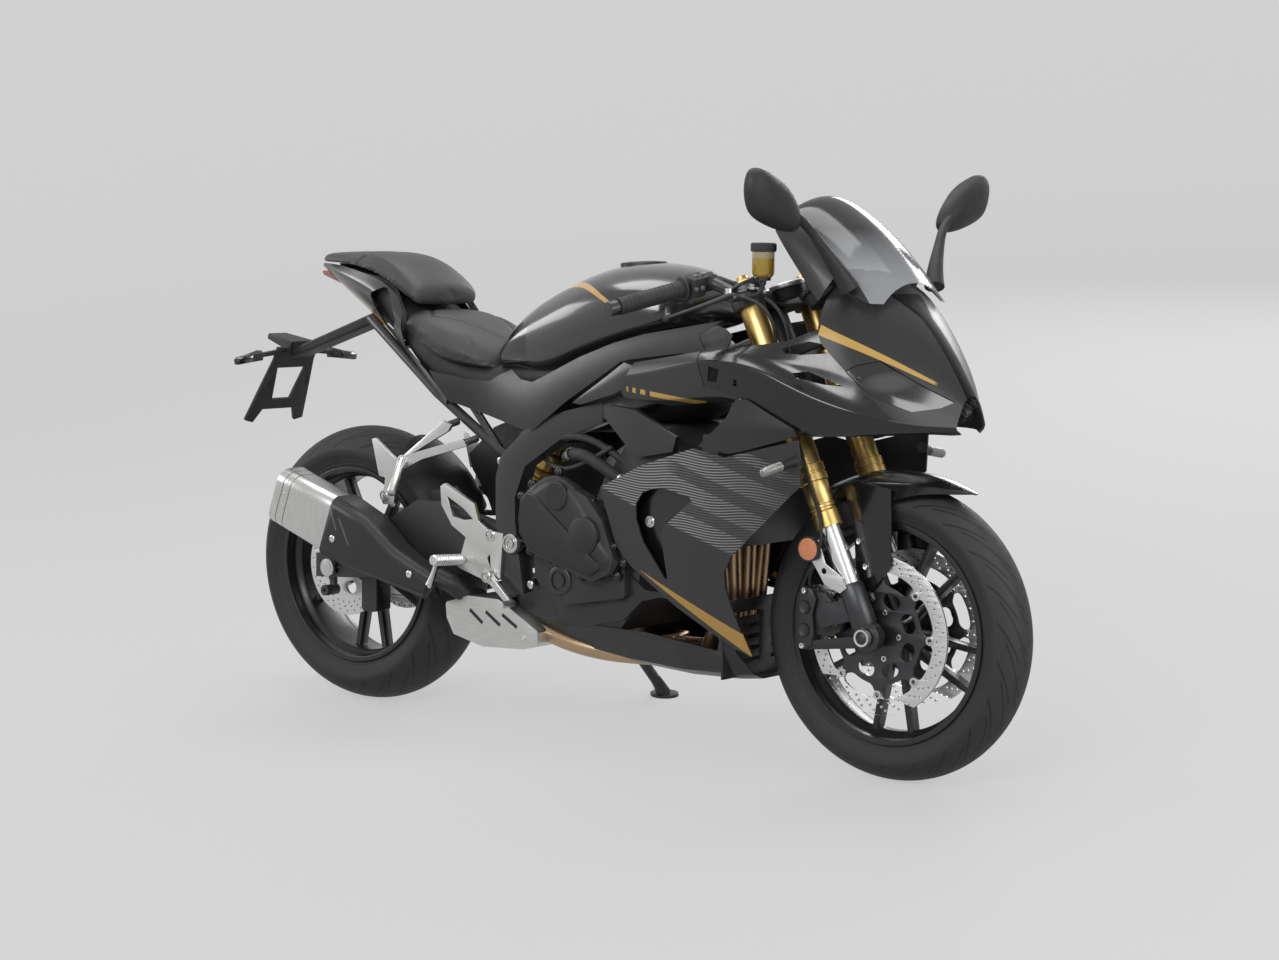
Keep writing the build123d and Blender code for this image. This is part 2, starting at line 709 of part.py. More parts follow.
with BuildPart() as exhaust_box:
    box_side = [(376, 274), (441, 294), (530, 294), (640, 236), (640, 206), (600, 193), (484, 187),
                (400, 206), (380, 240)]
    add(plate(box_side, -172, 40, 8))
    add(exhaust_headers.part, mode=Mode.SUBTRACT)
keep(exhaust_box.part, "exhaust_box")

silencer_y = -200
silencer_plane = Plane((60, silencer_y, 430), x_dir=(0, 1, 0), z_dir=(-0.943, 0, 0.333))
with BuildPart() as silencer_can:
    for distance, size in ((-20, (84, 138)), (150, (96, 130))):
        with BuildSketch(silencer_plane.offset(distance)):
            RectangleRounded(*size, 30)
    loft()
    with BuildSketch(silencer_plane.offset(120)):
        Circle(24)
    extrude(amount=60, mode=Mode.SUBTRACT)
keep(silencer_can.part, "silencer_can")

with BuildPart() as silencer_cover:
    for distance, size in ((-20 - seat_gap, (88, 142)), (-120, (88, 128)), (-215, (78, 86)), (-330, (62, 60))):
        with BuildSketch(silencer_plane.offset(distance)):
            with Locations((0, 0 if distance > -130 else 10)):
                RectangleRounded(*size, 20)
    loft(ruled=True)
    add(tube([(366, -186, 330), (400, -176, 316), (420, -150, 292), (420, -110, 280)], 22, 20))
    add(exhaust_box.part, mode=Mode.SUBTRACT)
keep(silencer_cover.part, "silencer_cover")

with BuildPart() as swingarm:
    arm_inner = frame_inner_y
    arm_outer = arm_inner + 28
    right_arm = [(-46, 290), (-46, 344), (62, 356), (130, 410), (266, 488), (351, 486), (498, 452),
                 (498, 345), (300, 322), (80, 298)]
    left_arm = [(-46, 290), (-46, 344), (62, 356), (345, 430), (498, 434), (498, 345), (300, 322), (80, 298)]
    add(plate(right_arm, -arm_outer, -arm_inner))
    add(plate(left_arm, arm_inner, arm_outer))
    cross = [(345, 348), (345, 428), (498, 434), (540, 425), (540, 395), (498, 345)]
    add(plate(cross, -arm_inner + 6, arm_inner - 6, 6))
    add(plate([(345, 348), (345, 428), (498, 434), (498, 345)], -arm_inner, arm_inner))
    pivot_x, pivot_z = swingarm_pivot
    with BuildSketch(side_plane(frame_inner_y - 1)):
        with Locations(swingarm_pivot):
            Circle(24)
    extrude(amount=2 * frame_inner_y - 2)
    add(plate([(520, 395), (520, 433), (565, 437), (565, 393)], -frame_inner_y + 8, frame_inner_y - 8))
    # pivot bolt through both frame plates
    add(rod((pivot_x, -frame_outer_y - 2, pivot_z), (pivot_x, frame_outer_y + 2, pivot_z), pivot_bolt_radius))
    for side in (-1, 1):
        add(rod((pivot_x, side * (frame_outer_y + seat_gap), pivot_z),
                (pivot_x, side * (frame_outer_y + 9), pivot_z), 19))
    with BuildSketch(side_plane(arm_outer + 1)):
        with Locations((0, rear_tyre_radius)):
            SlotOverall(54, 2 * rear_axle_radius + 0.4)
    extrude(amount=2 * arm_outer + 2, mode=Mode.SUBTRACT)
    for side in (-1, 1):
        with BuildSketch(Plane((bobbin_x, side * arm_inner, bobbin_z), z_dir=(0, side, 0))):
            Circle(12)
        extrude(amount=arm_outer - arm_inner + bobbin_reach)
        add(rod((bobbin_x, side * (arm_inner + 10), 296), (bobbin_x, side * (arm_inner + 10), bobbin_z), 9))
        with BuildSketch(Plane((bobbin_x, side * (arm_outer + bobbin_reach), bobbin_z), z_dir=(0, -side, 0))):
            Circle(bobbin_bore)
        extrude(amount=bobbin_depth, mode=Mode.SUBTRACT)
keep(swingarm.part, "swingarm")

with BuildPart() as rear_axle:
    add(rod((0, -arm_outer - 14, rear_tyre_radius), (0, arm_outer + 14, rear_tyre_radius), rear_axle_radius))
    for side in (-1, 1):
        add(rod((0, side * (arm_outer + seat_gap), rear_tyre_radius),
                (0, side * (arm_outer + 13), rear_tyre_radius), 20))
        spacer_start = rear_hub_half_length + seat_gap if side < 0 else chain_y + 3.5
        add(rod((0, side * spacer_start, rear_tyre_radius),
                (0, side * (arm_inner - seat_gap), rear_tyre_radius), 17))
keep(rear_axle.part, "rear_axle")

with BuildPart() as rear_caliper:
    caliper_x, caliper_z = 96, 262
    with BuildSketch(side_plane(-rear_disc_y + 18)):
        with Locations((caliper_x, caliper_z)):
            RectangleRounded(46, 84, 10)
    extrude(amount=46)
    gap = disc_thickness + 2 * pad_clearance
    with BuildSketch(side_plane(-rear_disc_y + gap / 2)):
        with Locations((0, rear_tyre_radius)):
            Circle(rear_disc_radius + pad_clearance)
    extrude(amount=gap, mode=Mode.SUBTRACT)
    add(plate([(62, 290), (120, 280), (118, 306), (62, 316)], -arm_inner + seat_gap, -104))
    add(swingarm.part, mode=Mode.SUBTRACT)
keep(rear_caliper.part, "rear_caliper")

hugger_gap = 16
hugger_half = rear_tyre_width / 2 + 10


def hugger_arch(extra):
    """Face under the hugger's inner or outer surface, to turn about the rear axle."""
    inner = rear_tyre_radius + hugger_gap + extra
    edge = rear_tyre_radius + hugger_gap - 44
    with BuildSketch(Plane(rear_axle_point, x_dir=(0, 1, 0), z_dir=(1, 0, 0))) as arch:
        with BuildLine():
            Polyline((-hugger_half - extra, edge), (-hugger_half - extra, 40), (hugger_half + extra, 40),
                     (hugger_half + extra, edge))
            ThreePointArc((hugger_half + extra, edge), (0, inner), (-hugger_half - extra, edge))
        make_face()
    return arch.sketch


with BuildPart() as hugger:
    add(hugger_arch(3))
    revolve(axis=Axis(rear_axle_point, (0, 1, 0)))
    with BuildSketch(side_plane(200)):
        with BuildLine():
            Polyline((345, 440), (300, 452), (212, 482), (120, 660), (380, 640), (460, 440), close=True)
        make_face()
    extrude(amount=400, mode=Mode.INTERSECT)
    for side in (-1, 1):
        ear = [(240, 500), (300, 452), (352, 427), (420, 428), (384, 470), (330, 520)]
        inner_y, outer_y = sorted((side * 84, side * 88))
        add(plate(ear, inner_y, outer_y))
    add(hugger_arch(0))
    revolve(axis=Axis(rear_axle_point, (0, 1, 0)), mode=Mode.SUBTRACT)
    add(swingarm.part, mode=Mode.SUBTRACT)
keep(hugger.part, "hugger")

with BuildPart() as shock_absorber:
    low, high = Vector(452, 0, 440), Vector(548, 0, 622)
    along = (high - low).normalized()
    add(rod(low, high, 14))
    add(rod(low + along * 40, high - along * 30, 30))
    add(rod(low + along * 30, low + along * 44, 34))
    add(rod(high - along * 36, high - along * 22, 34))
    add(main_frame.part, mode=Mode.SUBTRACT)
    add(swingarm.part, mode=Mode.SUBTRACT)
keep(shock_absorber.part, "shock_absorber")

# ------------------------------------------------------------------------ footrests and stand
with BuildPart() as rider_footrests:
    heel = [(354, 526), (366, 533), (452, 495), (465, 458), (504, 434), (504, 398), (492, 380), (504, 352),
            (516, 329), (484, 331), (412, 351), (392, 363), (416, 383), (429, 420), (388, 443), (357, 486)]
    for side in (-1, 1):
        inner, outer = sorted((side * (frame_outer_y + seat_gap), side * (frame_outer_y + 9)))
        add(plate(heel, inner, outer))
        add(plate([(496, 440), (536, 436), (528, 336), (504, 330)], inner, outer))
        with BuildSketch(side_plane(outer + 1)):
            with BuildLine():
                Polyline((372, 507), (423, 482), (450, 461), (423, 457), (389, 463), close=True)
            make_face()
        extrude(amount=outer - inner + 2, mode=Mode.SUBTRACT)
        add(rod((420, side * (frame_outer_y + 8), 371), (420, side * 262, 377), 10))
        add(rod((420, side * 250, 372), (404, side * 256, 316), 4))
    # brake pedal on the right, gear lever on the left
    for side in (-1, 1):
        root = frame_outer_y + 8
        add(rod((500, side * root, 346), (500, side * (root + 18), 346), 14))
        add(strut((500, side * (root + 10), 346), (572, side * (root + 16), 290), (10, 20), (10, 14)))
        add(rod((572, side * (root + 8), 290), (572, side * (root + 48), 290), 8))
keep(rider_footrests.part, "rider_footrests")

with BuildPart() as passenger_footrests:
    arm_top = [(348, 668), (375, 661), (366, 647), (258, 591), (408, 632), (420, 617), (288, 580), (233, 554),
               (209, 511), (203, 474), (172, 472), (163, 490), (175, 509), (178, 532), (159, 535), (137, 616),
               (146, 618), (209, 575), (233, 585), (330, 654)]
    for side in (-1, 1):
        inner, outer = sorted((side * 148, side * 156))
        add(plate(arm_top, inner, outer))
        for x, z in ((354, 656), (410, 622)):
            add(rod((x - 4, side * 152, z), (x - 4, side * 108, z + 8), 8))
        add(rod((232, side * 155, 572), (232, side * 160, 572), 14))
        add(rod((232, side * 158, 574), (262, side * 226, 508), 10))
    add(subframe.part, mode=Mode.SUBTRACT)
    add(silencer_cover.part, mode=Mode.SUBTRACT)
keep(passenger_footrests.part, "passenger_footrests")

foot_ground = ground.to_local_coords(Vector(stand_foot_x, stand_foot_y, 45))
foot_bottom = ground.from_local_coords(Vector(foot_ground.X, foot_ground.Y, 0))
foot_plane = Plane(foot_bottom, x_dir=(1, 0, 0), z_dir=ground.z_dir)
stand_down = (foot_plane.from_local_coords((0, 0, 10)) - Vector(stand_pivot)).normalized()
stand_up = Vector(-0.985, 0.174, 0)     # direction of the leg when it is folded back
stand_axis = stand_down.cross(stand_up).normalized()
hinge_plane = Plane(stand_pivot, x_dir=stand_down, z_dir=stand_axis)
stand_travel = stand_down.get_angle(stand_up)

with BuildPart() as side_stand:
    with BuildSketch(hinge_plane.offset(-7)):
        Circle(18)
        with Locations((30, 0)):
            Rectangle(60, 26)
    extrude(amount=14)
    add(rod(hinge_plane.from_local_coords((44, 0, 0)), foot_plane.from_local_coords((0, 0, 8)), stand_leg_radius))
    with BuildSketch(foot_plane):
        Ellipse(stand_foot_radius + 12, stand_foot_radius)
    extrude(amount=6)
    add(strut(foot_plane.from_local_coords((0, 0, 4)),
              Vector(stand_pivot) + stand_down * ((foot_bottom - Vector(stand_pivot)).length - 46), (30, 30), (22, 22)))
    with BuildSketch(foot_plane.offset(-40)):
        Rectangle(200, 200)
    extrude(amount=40, mode=Mode.SUBTRACT)
    with BuildSketch(hinge_plane.offset(-20)):
        Circle(stand_pin_radius + running_clearance)
    extrude(amount=40, mode=Mode.SUBTRACT)
keep(side_stand.part, "side_stand")

stand_ears = [(-8, -16), (-62, -20), (-62, 20), (-8, 16)]
stand_root = [(-26, -18), (-66, -20), (-66, 20), (-26, 18)]
with BuildPart() as frame_with_bracket:
    add(main_frame.part)
    for offset in (-13, 7 + seat_gap):
        with BuildSketch(hinge_plane.offset(offset)):
            Circle(16)
            with BuildLine():
                Polyline(*stand_ears, close=True)
            make_face()
        extrude(amount=6 - seat_gap)
    with BuildSketch(hinge_plane.offset(-13)):
        with BuildLine():
            Polyline(*stand_root, close=True)
        make_face()
    extrude(amount=26)
    with BuildSketch(hinge_plane.offset(-16)):
        Circle(stand_pin_radius)
    extrude(amount=32)
    add(swingarm.part, mode=Mode.SUBTRACT)
    add(rider_footrests.part, mode=Mode.SUBTRACT)
keep(frame_with_bracket.part, "main_frame")

# ------------------------------------------------------------------------ tank, seats and tail
# rows: x, then the half section as (y, z) from its lowest point to its top
tank_rows = (
    (452, [(80, 774), (98, 792), (98, 815), (76, 838), (0, 846)]),
    (520, [(100, 789), (122, 815), (120, 862), (92, 905), (0, 917)]),
    (600, [(112, 766), (140, 818), (138, 890), (100, 945), (0, 959)]),
    (735, [(134, 824), (170, 866), (166, 945), (112, 1000), (0, 1018)]),
    (850, [(146, 860), (182, 892), (172, 965), (115, 1010), (0, 1025)]),
    (922, [(150, 880), (176, 905), (162, 962), (104, 1000), (0, 1014)]),
    (975, [(120, 893), (148, 912), (134, 945), (80, 970), (0, 978)]),
)
with BuildPart() as fuel_tank:
    add(cushion(tank_rows))
    cap_plane = Plane((780, 0, 1019), x_dir=(1, 0, 0.1), z_dir=(-0.1, 0, 1))
    with BuildSketch(cap_plane.offset(-8)):
        Circle(62)
    extrude(amount=40, mode=Mode.SUBTRACT)
keep(fuel_tank.part, "fuel_tank")

with BuildPart() as fuel_cap:
    with BuildSketch(cap_plane.offset(-8 + seat_gap)):
        Circle(58)
    extrude(amount=9)
    with BuildSketch(cap_plane.offset(1)):
        Circle(34)
    extrude(amount=7)
keep(fuel_cap.part, "fuel_cap")

cover_rows = (
    (280, [(127, 690), (133, 740), (131, 770), (124, 800)]),
    (455, [(114, 640), (125, 700), (120, 765), (108, 800)]),
    (600, [(163, 620), (164, 690), (150, 768), (128, 800)]),
    (740, [(167, 690), (170, 760), (160, 828), (140, 860)]),
    (900, [(180, 770), (184, 830), (176, 876), (156, 906)]),
    (1134, [(200, 800), (204, 860), (194, 916), (170, 940)]),
)
seam = [(460, 759), (523, 787), (560, 768), (600, 764), (735, 823), (922, 879), (1134, 914)]
with BuildPart() as side_covers:
    add(skin(cover_rows, 3))
    with BuildSketch(side_plane(260)):
        with BuildLine():
            Polyline((284, 774), (389, 761), *seam, (1074, 880), (1095, 853), (891, 824), (864, 820),
                     (712, 735), (600, 662), (571, 663), (430, 690), (337, 711), close=True)
        make_face()
    extrude(amount=520, mode=Mode.INTERSECT)
    add(main_frame.part, mode=Mode.SUBTRACT)
    add(fuel_tank.part, mode=Mode.SUBTRACT)

with BuildPart() as rider_seat:
    add(cushion((
        (168, [(96, 872), (112, 882), (108, 892), (0, 899)]),
        (230, [(108, 824), (130, 862), (120, 892), (0, 903)]),
        (300, [(118, 786), (146, 826), (132, 884), (0, 899)]),
        (380, [(108, 778), (136, 806), (116, 852), (0, 867)]),
        (447, [(78, 774), (100, 786), (92, 816), (0, 838)]),
    )))
keep(rider_seat.part, "rider_seat")

with BuildPart() as pillion_seat:
    add(cushion((
        (-134, [(52, 1001), (60, 1008), (52, 1018), (0, 1021)]),
        (-20, [(84, 1000), (96, 1006), (86, 1020), (0, 1026)]),
        (96, [(92, 969), (104, 985), (94, 1014), (0, 1026)]),
        (180, [(96, 925), (110, 950), (98, 982), (0, 996)]),
        (226, [(96, 904), (110, 912), (102, 934), (0, 948)]),
    )))
keep(pillion_seat.part, "pillion_seat")

tail_rows = (
    (-141, [(16, 984), (24, 988), (30, 994), (26, 1000)]),
    (-60, [(36, 944), (60, 962), (70, 984), (58, 999)]),
    (40, [(58, 896), (88, 928), (104, 962), (92, 984)]),
    (140, [(80, 838), (108, 880), (126, 930), (110, 966)]),
    (230, [(96, 768), (122, 800), (142, 850), (124, 893)]),
    (335, [(116, 690), (124, 720), (146, 760), (136, 780)]),
)
with BuildPart() as tail_fairing:
    add(skin(tail_rows, 3))
    with BuildSketch(side_plane(260)):
        with BuildLine():
            Polyline((-141, 1000), (-18, 998), (130, 966), (154, 962), (200, 901), (202, 875), (190, 822),
                     (269, 773), (330, 715), (322, 700), (94, 832), (-5, 910), (-141, 984), close=True)
        make_face()
    extrude(amount=520, mode=Mode.INTERSECT)
    with BuildSketch(side_plane(260)):
        with BuildLine():
            Polyline((84, 932), (134, 952), (152, 940), (180, 888), (149, 858), (108, 872), close=True)
        make_face()
    extrude(amount=520, mode=Mode.SUBTRACT)
    for piece in (rider_seat, pillion_seat, subframe, passenger_footrests):
        add(piece.part, mode=Mode.SUBTRACT)
keep(tail_fairing.part, "tail_fairing")

# inner tray under both seats, welded to the subframe rails
with BuildPart() as seat_frame:
    add(plate([(60, 905), (160, 900), (230, 800), (300, 752), (440, 752), (440, 738), (290, 738),
               (218, 790), (150, 872), (60, 893)], -72, 72))
    add(plate([(120, 894), (160, 894), (160, 925), (110, 965), (90, 966)], -60, 60))
    add(plate([(300, 745), (380, 745), (380, 778), (300, 786)], -60, 60))
    add(subframe.part)
    for piece in (rider_seat, pillion_seat, tail_fairing, passenger_footrests):
        add(piece.part, mode=Mode.SUBTRACT)
keep(seat_frame.part, "subframe")

with BuildPart() as trimmed_covers:
    add(side_covers.part)
    for piece in (rider_seat, tail_fairing, subframe):
        add(piece.part, mode=Mode.SUBTRACT)
keep(trimmed_covers.part, "side_covers")

with BuildPart() as tail_light:
    add(cushion((
        (-150, [(18, 972), (24, 980), (18, 983)]),
        (-60, [(26, 946), (34, 962), (30, 975)]),
        (-20, [(30, 930), (36, 945), (30, 960)]),
    )))
    add(tail_fairing.part, mode=Mode.SUBTRACT)
keep(tail_light.part, "tail_light")

hanger_wall = 8
plate_bolt_y = 62
plate_bolt_up = -80
plate_bolt_bore = 3.3           # M6
with BuildPart() as plate_hanger:
    # arm under the tail, then the leaning frame that carries the number plate
    add(strut((44, 0, 888), (-246, 0, 786), (60, 24), (60, 20)))
    hanger_plane = Plane((-256, 0, 788), x_dir=(0, -1, 0), z_dir=(-0.905, 0, 0.425))
    with BuildSketch(hanger_plane):
        with BuildLine():
            Polyline((-64, 12), (64, 12), (64, -20), (80, -105), (93, -178), (68, -184), (50, -150),
                     (-50, -150), (-68, -184), (-93, -178), (-80, -105), (-64, -20), close=True)
        make_face()
        with BuildLine():
            Polyline((-46, -40), (46, -40), (30, -125), (-30, -125), close=True)
        make_face(mode=Mode.SUBTRACT)
    extrude(amount=hanger_wall)
    # number plate lamp on top
    add(strut((-236, 0, 802), (-322, 0, 824), (84, 26), (60, 14)))
    with BuildSketch(hanger_plane.offset(-1)):
        with Locations((-plate_bolt_y, plate_bolt_up), (plate_bolt_y, plate_bolt_up)):
            Circle(plate_bolt_bore)
    extrude(amount=hanger_wall + 2, mode=Mode.SUBTRACT)
    for piece in (seat_frame, tail_fairing, tail_light):
        add(piece.part, mode=Mode.SUBTRACT)
keep(plate_hanger.part, "plate_hanger")

with BuildPart() as rear_signals:
    for side in (-1, 1):
        add(strut((-258, side * 40, 792), (-260, side * 120, 784), (16, 12), (14, 10)))
        add(strut((-262, side * 116, 784), (-256, side * 194, 772), (22, 24), (14, 14)))
    add(plate_hanger.part, mode=Mode.SUBTRACT)
keep(rear_signals.part, "rear_signals")

# ------------------------------------------------------------------------ fairing
upper_rows = (
    (880, [(206, 640), (208, 700), (207, 760), (202, 800), (194, 830), (120, 900), (0.5, 920)]),
    (1000, [(222, 640), (228, 700), (226, 760), (216, 810), (208, 840), (130, 915), (0.5, 935)]),
    (1124, [(240, 640), (246, 700), (244, 760), (236, 810), (224, 852), (150, 930), (0.5, 960)]),
    (1240, [(244, 640), (250, 700), (248, 760), (240, 815), (226, 868), (170, 950), (0.5, 1000)]),
    (1340, [(232, 640), (240, 700), (240, 770), (230, 830), (214, 890), (165, 985), (0.5, 1045)]),
    (1430, [(200, 640), (222, 700), (224, 760), (212, 822), (190, 880), (130, 965), (0.5, 1002)]),
    (1500, [(150, 640), (165, 712), (170, 755), (160, 810), (138, 860), (90, 905), (0.5, 932)]),
    (1560, [(80, 640), (105, 710), (112, 745), (104, 780), (85, 815), (55, 840), (0.5, 852)]),
    (1600, [(30, 640), (44, 708), (48, 728), (44, 744), (34, 758), (20, 768), (0.5, 772)]),
)
lower_rows = (
    (820, [(150, 180), (160, 240), (178, 350), (196, 450), (208, 560), (210, 740)]),
    (960, [(150, 180), (165, 240), (190, 350), (208, 450), (224, 560), (228, 740)]),
    (1100, [(140, 180), (165, 240), (192, 350), (212, 450), (238, 560), (245, 740)]),
    (1180, [(120, 180), (165, 240), (186, 350), (206, 450), (236, 560), (250, 740)]),
    (1370, [(100, 180), (150, 240), (170, 350), (190, 450), (224, 560), (238, 740)]),
)
upper_skin = skin(upper_rows, wall)
lower_skin = skin(lower_rows, wall)
edge_upper = [(1107, 850), (1130, 785), (1218, 767), (1348, 702)]
edge_nose = [(1369, 905), (1380, 880), (1441, 826), (1532, 725), (1565, 712)]
edge_wing = [(1348, 702), (1190, 722), (1114, 662)]


def panel(shell, outline, removed=(), cuts=()):
    """Both sides of a moulded shell, cut to a side-view outline and around its neighbours."""
    with BuildPart() as body:
        add(shell)
        with BuildSketch(side_plane(400)):
            with BuildLine():
                Polyline(*outline, close=True)
            make_face()
        extrude(amount=800, mode=Mode.INTERSECT)
        for cut in cuts:
            with BuildSketch(side_plane(400)):
                with BuildLine():
                    Polyline(*cut, close=True)
                make_face()
            extrude(amount=800, mode=Mode.SUBTRACT)
        for piece in removed:
            add(piece, mode=Mode.SUBTRACT)
    return body.part


upper_side_panels = panel(
    upper_skin,
    [(1107, 850), (1230, 867), (1305, 877), *edge_nose, (1348, 702), (1218, 767), (1130, 785)],
    (side_covers.part,),
)
keep(upper_side_panels, "upper_side_panels")

mid_panels = panel(
    upper_skin, [(889, 761), (922, 818), *edge_upper, (1190, 722), (900, 750)], (side_covers.part,)
)
keep(mid_panels, "mid_panels")

lamp_outline = [(1447, 827), (1480, 846), (1582, 768), (1540, 750)]
nose_cowl = panel(
    upper_skin,
    [*edge_nose, (1604, 712), (1604, 800), (1500, 1010), (1440, 1050), (1366, 1050), (1366, 960)],
    (), (lamp_outline,),
)
with BuildPart() as nose:
    add(nose_cowl)
    # peg at the very tip, and the beam behind the lamps that ties the cowl to its stay
    add(strut((1590, 0, 740), (1612, 0, 722), (30, 26), (12, 8)))
    with BuildSketch(Plane.YZ.offset(1596)):
        with Locations((0, 740)):
            Rectangle(70, 46)
    extrude(amount=8)
keep(nose.part, "nose_cowl")

# each lens fills its opening, a little below the cowl's face
lens_recess = 1
lens_thickness = 2
lens_rows = [(x, [(max(y - lens_recess, 0.5), z) for y, z in half]) for x, half in upper_rows if x >= 1430]
headlights = panel(skin(lens_rows, lens_thickness), lamp_outline)
keep(headlights, "headlights")

screen_rows = (
    (1226, [(150, 1060), (149, 1100), (126, 1126), (88, 1142), (44, 1154), (0.5, 1158)]),
    (1256, [(158, 1030), (156, 1088), (132, 1122), (94, 1150), (48, 1168), (0.5, 1176)]),
    (1330, [(166, 965), (163, 1030), (140, 1074), (100, 1104), (52, 1122), (0.5, 1128)]),
    (1400, [(162, 930), (158, 975), (132, 1014), (94, 1042), (48, 1060), (0.5, 1066)]),
    (1460, [(132, 905), (130, 930), (108, 955), (76, 976), (38, 990), (0.5, 994)]),
)
with BuildPart() as windscreen:
    add(panel(skin(screen_rows, 3),
              [(1226, 1094), (1228, 1120), (1242, 1150), (1256, 1180), (1400, 1100), (1474, 1010),
               (1478, 960), (1440, 958), (1372, 1004), (1345, 955), (1300, 1010)]))
    add(nose.part, mode=Mode.SUBTRACT)
keep(windscreen.part, "windscreen")

fairing_outline = [
    (835, 561), (958, 615), (1102, 660), (1114, 662), (1179, 648), (1348, 692), (1352, 601), (1166, 439),
    (1144, 403), (1155, 346), (1186, 238), (1150, 250), (905, 404), (855, 500),
]
vent = [(1013, 574), (1091, 559), (1002, 490), (1005, 385), (948, 459), (934, 527)]
winglets = panel(lower_skin, [(1114, 662), (1190, 722), (1348, 702), (1348, 692), (1179, 648)],
                 (upper_side_panels, mid_panels))
with BuildPart() as joined_fairings:
    add(panel(lower_skin, fairing_outline, (radiator.part, upper_side_panels, mid_panels), (vent,)))
    add(winglets)
side_fairings = joined_fairings.part
keep(side_fairings, "side_fairings")

belly_rows = (
    (557, [(60, 228), (100, 234), (128, 262), (150, 312)]),
    (700, [(90, 206), (130, 214), (156, 262), (164, 345)]),
    (860, [(96, 184), (134, 198), (160, 262), (168, 400)]),
    (1000, [(96, 176), (130, 190), (156, 240), (164, 400)]),
    (1112, [(84, 177), (112, 190), (146, 240), (154, 400)]),
    (1150, [(56, 178), (86, 190), (104, 226), (110, 400)]),
)
with BuildPart() as belly_pan:
    add(panel(skin(belly_rows, wall),
              [(557, 303), (659, 330), (788, 338), (832, 363), (862, 391), (925, 350), (1112, 344),
               (1130, 240), (1150, 186), (1150, 170), (557, 170)]))
    # forward-facing wall with its louvres
    with BuildSketch(Plane((1114, 0, 262), x_dir=(0, 1, 0), z_dir=(-1, 0, 0))):
        Rectangle(296, 160)
        with Locations(*[(side * 66, -48 + 24 * row) for side in (-1, 1) for row in range(5)]):
            SlotOverall(92, 10, mode=Mode.SUBTRACT)
    extrude(amount=4)
    # the left side stops short of the folded stand
    with BuildSketch(Plane((600, 0, 160))):
        with Locations((0, 120)):
            Rectangle(150, 220)
    extrude(amount=260, mode=Mode.SUBTRACT)
    for piece in (engine, exhaust_headers, exhaust_box, radiator, main_frame):
        add(piece.part, mode=Mode.SUBTRACT)
    add(side_fairings, mode=Mode.SUBTRACT)
keep(belly_pan.part, "belly_pan")

with BuildPart() as fairing_stay:
    # boom from the head tube to the nose, with arms to the screen, the sides and the panels below
    add(strut((1166, 0, 842), (1330, 0, 900), (50, 24), (60, 24)))
    for side in (-1, 1):
        add(rod((1330, side * 10, 900), (1390, side * 122, 972), 8))
        add(rod((1330, side * 10, 900), (1452, side * 120, 836), 8))
        add(rod((1452, side * 100, 836), (1452, side * 184, 808), 8))
    add(rod((1452, -122, 836), (1452, 122, 836), 8))
    add(rod((1452, 0, 836), (1594, 0, 742), 8))
    with BuildSketch(steer_plane.offset(head_tube_start - 60)):
        Circle(head_tube_radius)
    extrude(amount=head_tube_end - head_tube_start + 120, mode=Mode.SUBTRACT)
    for piece in (main_frame.part, nose.part, headlights, upper_side_panels, windscreen.part):
        add(piece, mode=Mode.SUBTRACT)
keep(fairing_stay.part, "fairing_stay")

with BuildPart() as instrument:
    dial_plane = Plane((1268, 0, 982), x_dir=(0, 1, 0), z_dir=(-0.62, 0, 0.785))
    with BuildSketch(dial_plane.offset(-26)):
        RectangleRounded(132, 84, 18)
    extrude(amount=26)
    with BuildSketch(dial_plane):
        RectangleRounded(146, 98, 22)
    extrude(amount=8)
    add(strut((1280, 0, 966), (1312, 0, 900), (40, 20), (40, 20)))
    add(fairing_stay.part, mode=Mode.SUBTRACT)
keep(instrument.part, "instrument")

with BuildPart() as mirrors:
    for side in (-1, 1):
        base = Vector(1400, side * 150, 994)
        elbow = Vector(1372, side * 236, 1098)
        add(strut(base + Vector(14, side * 2, -14), elbow, (30, 44), (16, 22)))
        add(strut(elbow - Vector(0, side * 6, 8), (1352, side * 300, 1134), (18, 24), (16, 16)))
        head_plane = Plane((1352, side * 350, 1150), x_dir=(0, side, 0.22), z_dir=(-0.97, side * -0.12, 0.05))
        with BuildSketch(head_plane):
            with BuildLine():
                Polyline((-76, -36), (-60, -6), (0, 36), (66, 50), (82, 34), (74, -8), (50, -38), (-40, -50),
                         close=True)
            make_face()
            fillet(vertices(), 9)
        extrude(amount=-34, taper=24)
        with BuildSketch(head_plane):
            with BuildLine():
                Polyline((-76, -36), (-60, -6), (0, 36), (66, 50), (82, 34), (74, -8), (50, -38), (-40, -50),
                         close=True)
            make_face()
            fillet(vertices(), 9)
        extrude(amount=6)
    for piece in (nose, windscreen, fairing_stay):
        add(piece.part, mode=Mode.SUBTRACT)
keep(mirrors.part, "mirrors")

with BuildPart() as front_signals:
    for side in (-1, 1):
        add(strut((1330, side * 232, 640), (1330, side * 262, 634), (14, 24), (14, 22)))
        add(strut((1330, side * 260, 634), (1326, side * 322, 629), (22, 26), (16, 20)))
    add(side_fairings, mode=Mode.SUBTRACT)
keep(front_signals.part, "front_signals")

# ------------------------------------------------------------------------ lean, centre and write
placed = []
for part in finished:
    moved = part.moved(stance)
    moved.label = part.label
    placed.append(moved)
boxes = [part.bounding_box() for part in placed]
low = [min(getattr(box.min, axis) for box in boxes) for axis in "XYZ"]
high = [max(getattr(box.max, axis) for box in boxes) for axis in "XYZ"]
centring = Location((-(low[0] + high[0]) / 2, -(low[1] + high[1]) / 2, 0))

for part in placed:
    standing = part.moved(centring)
    standing.label = part.label
    export_step(standing, f"parts/{part.label}.step")

bike_to_part = centring * stance


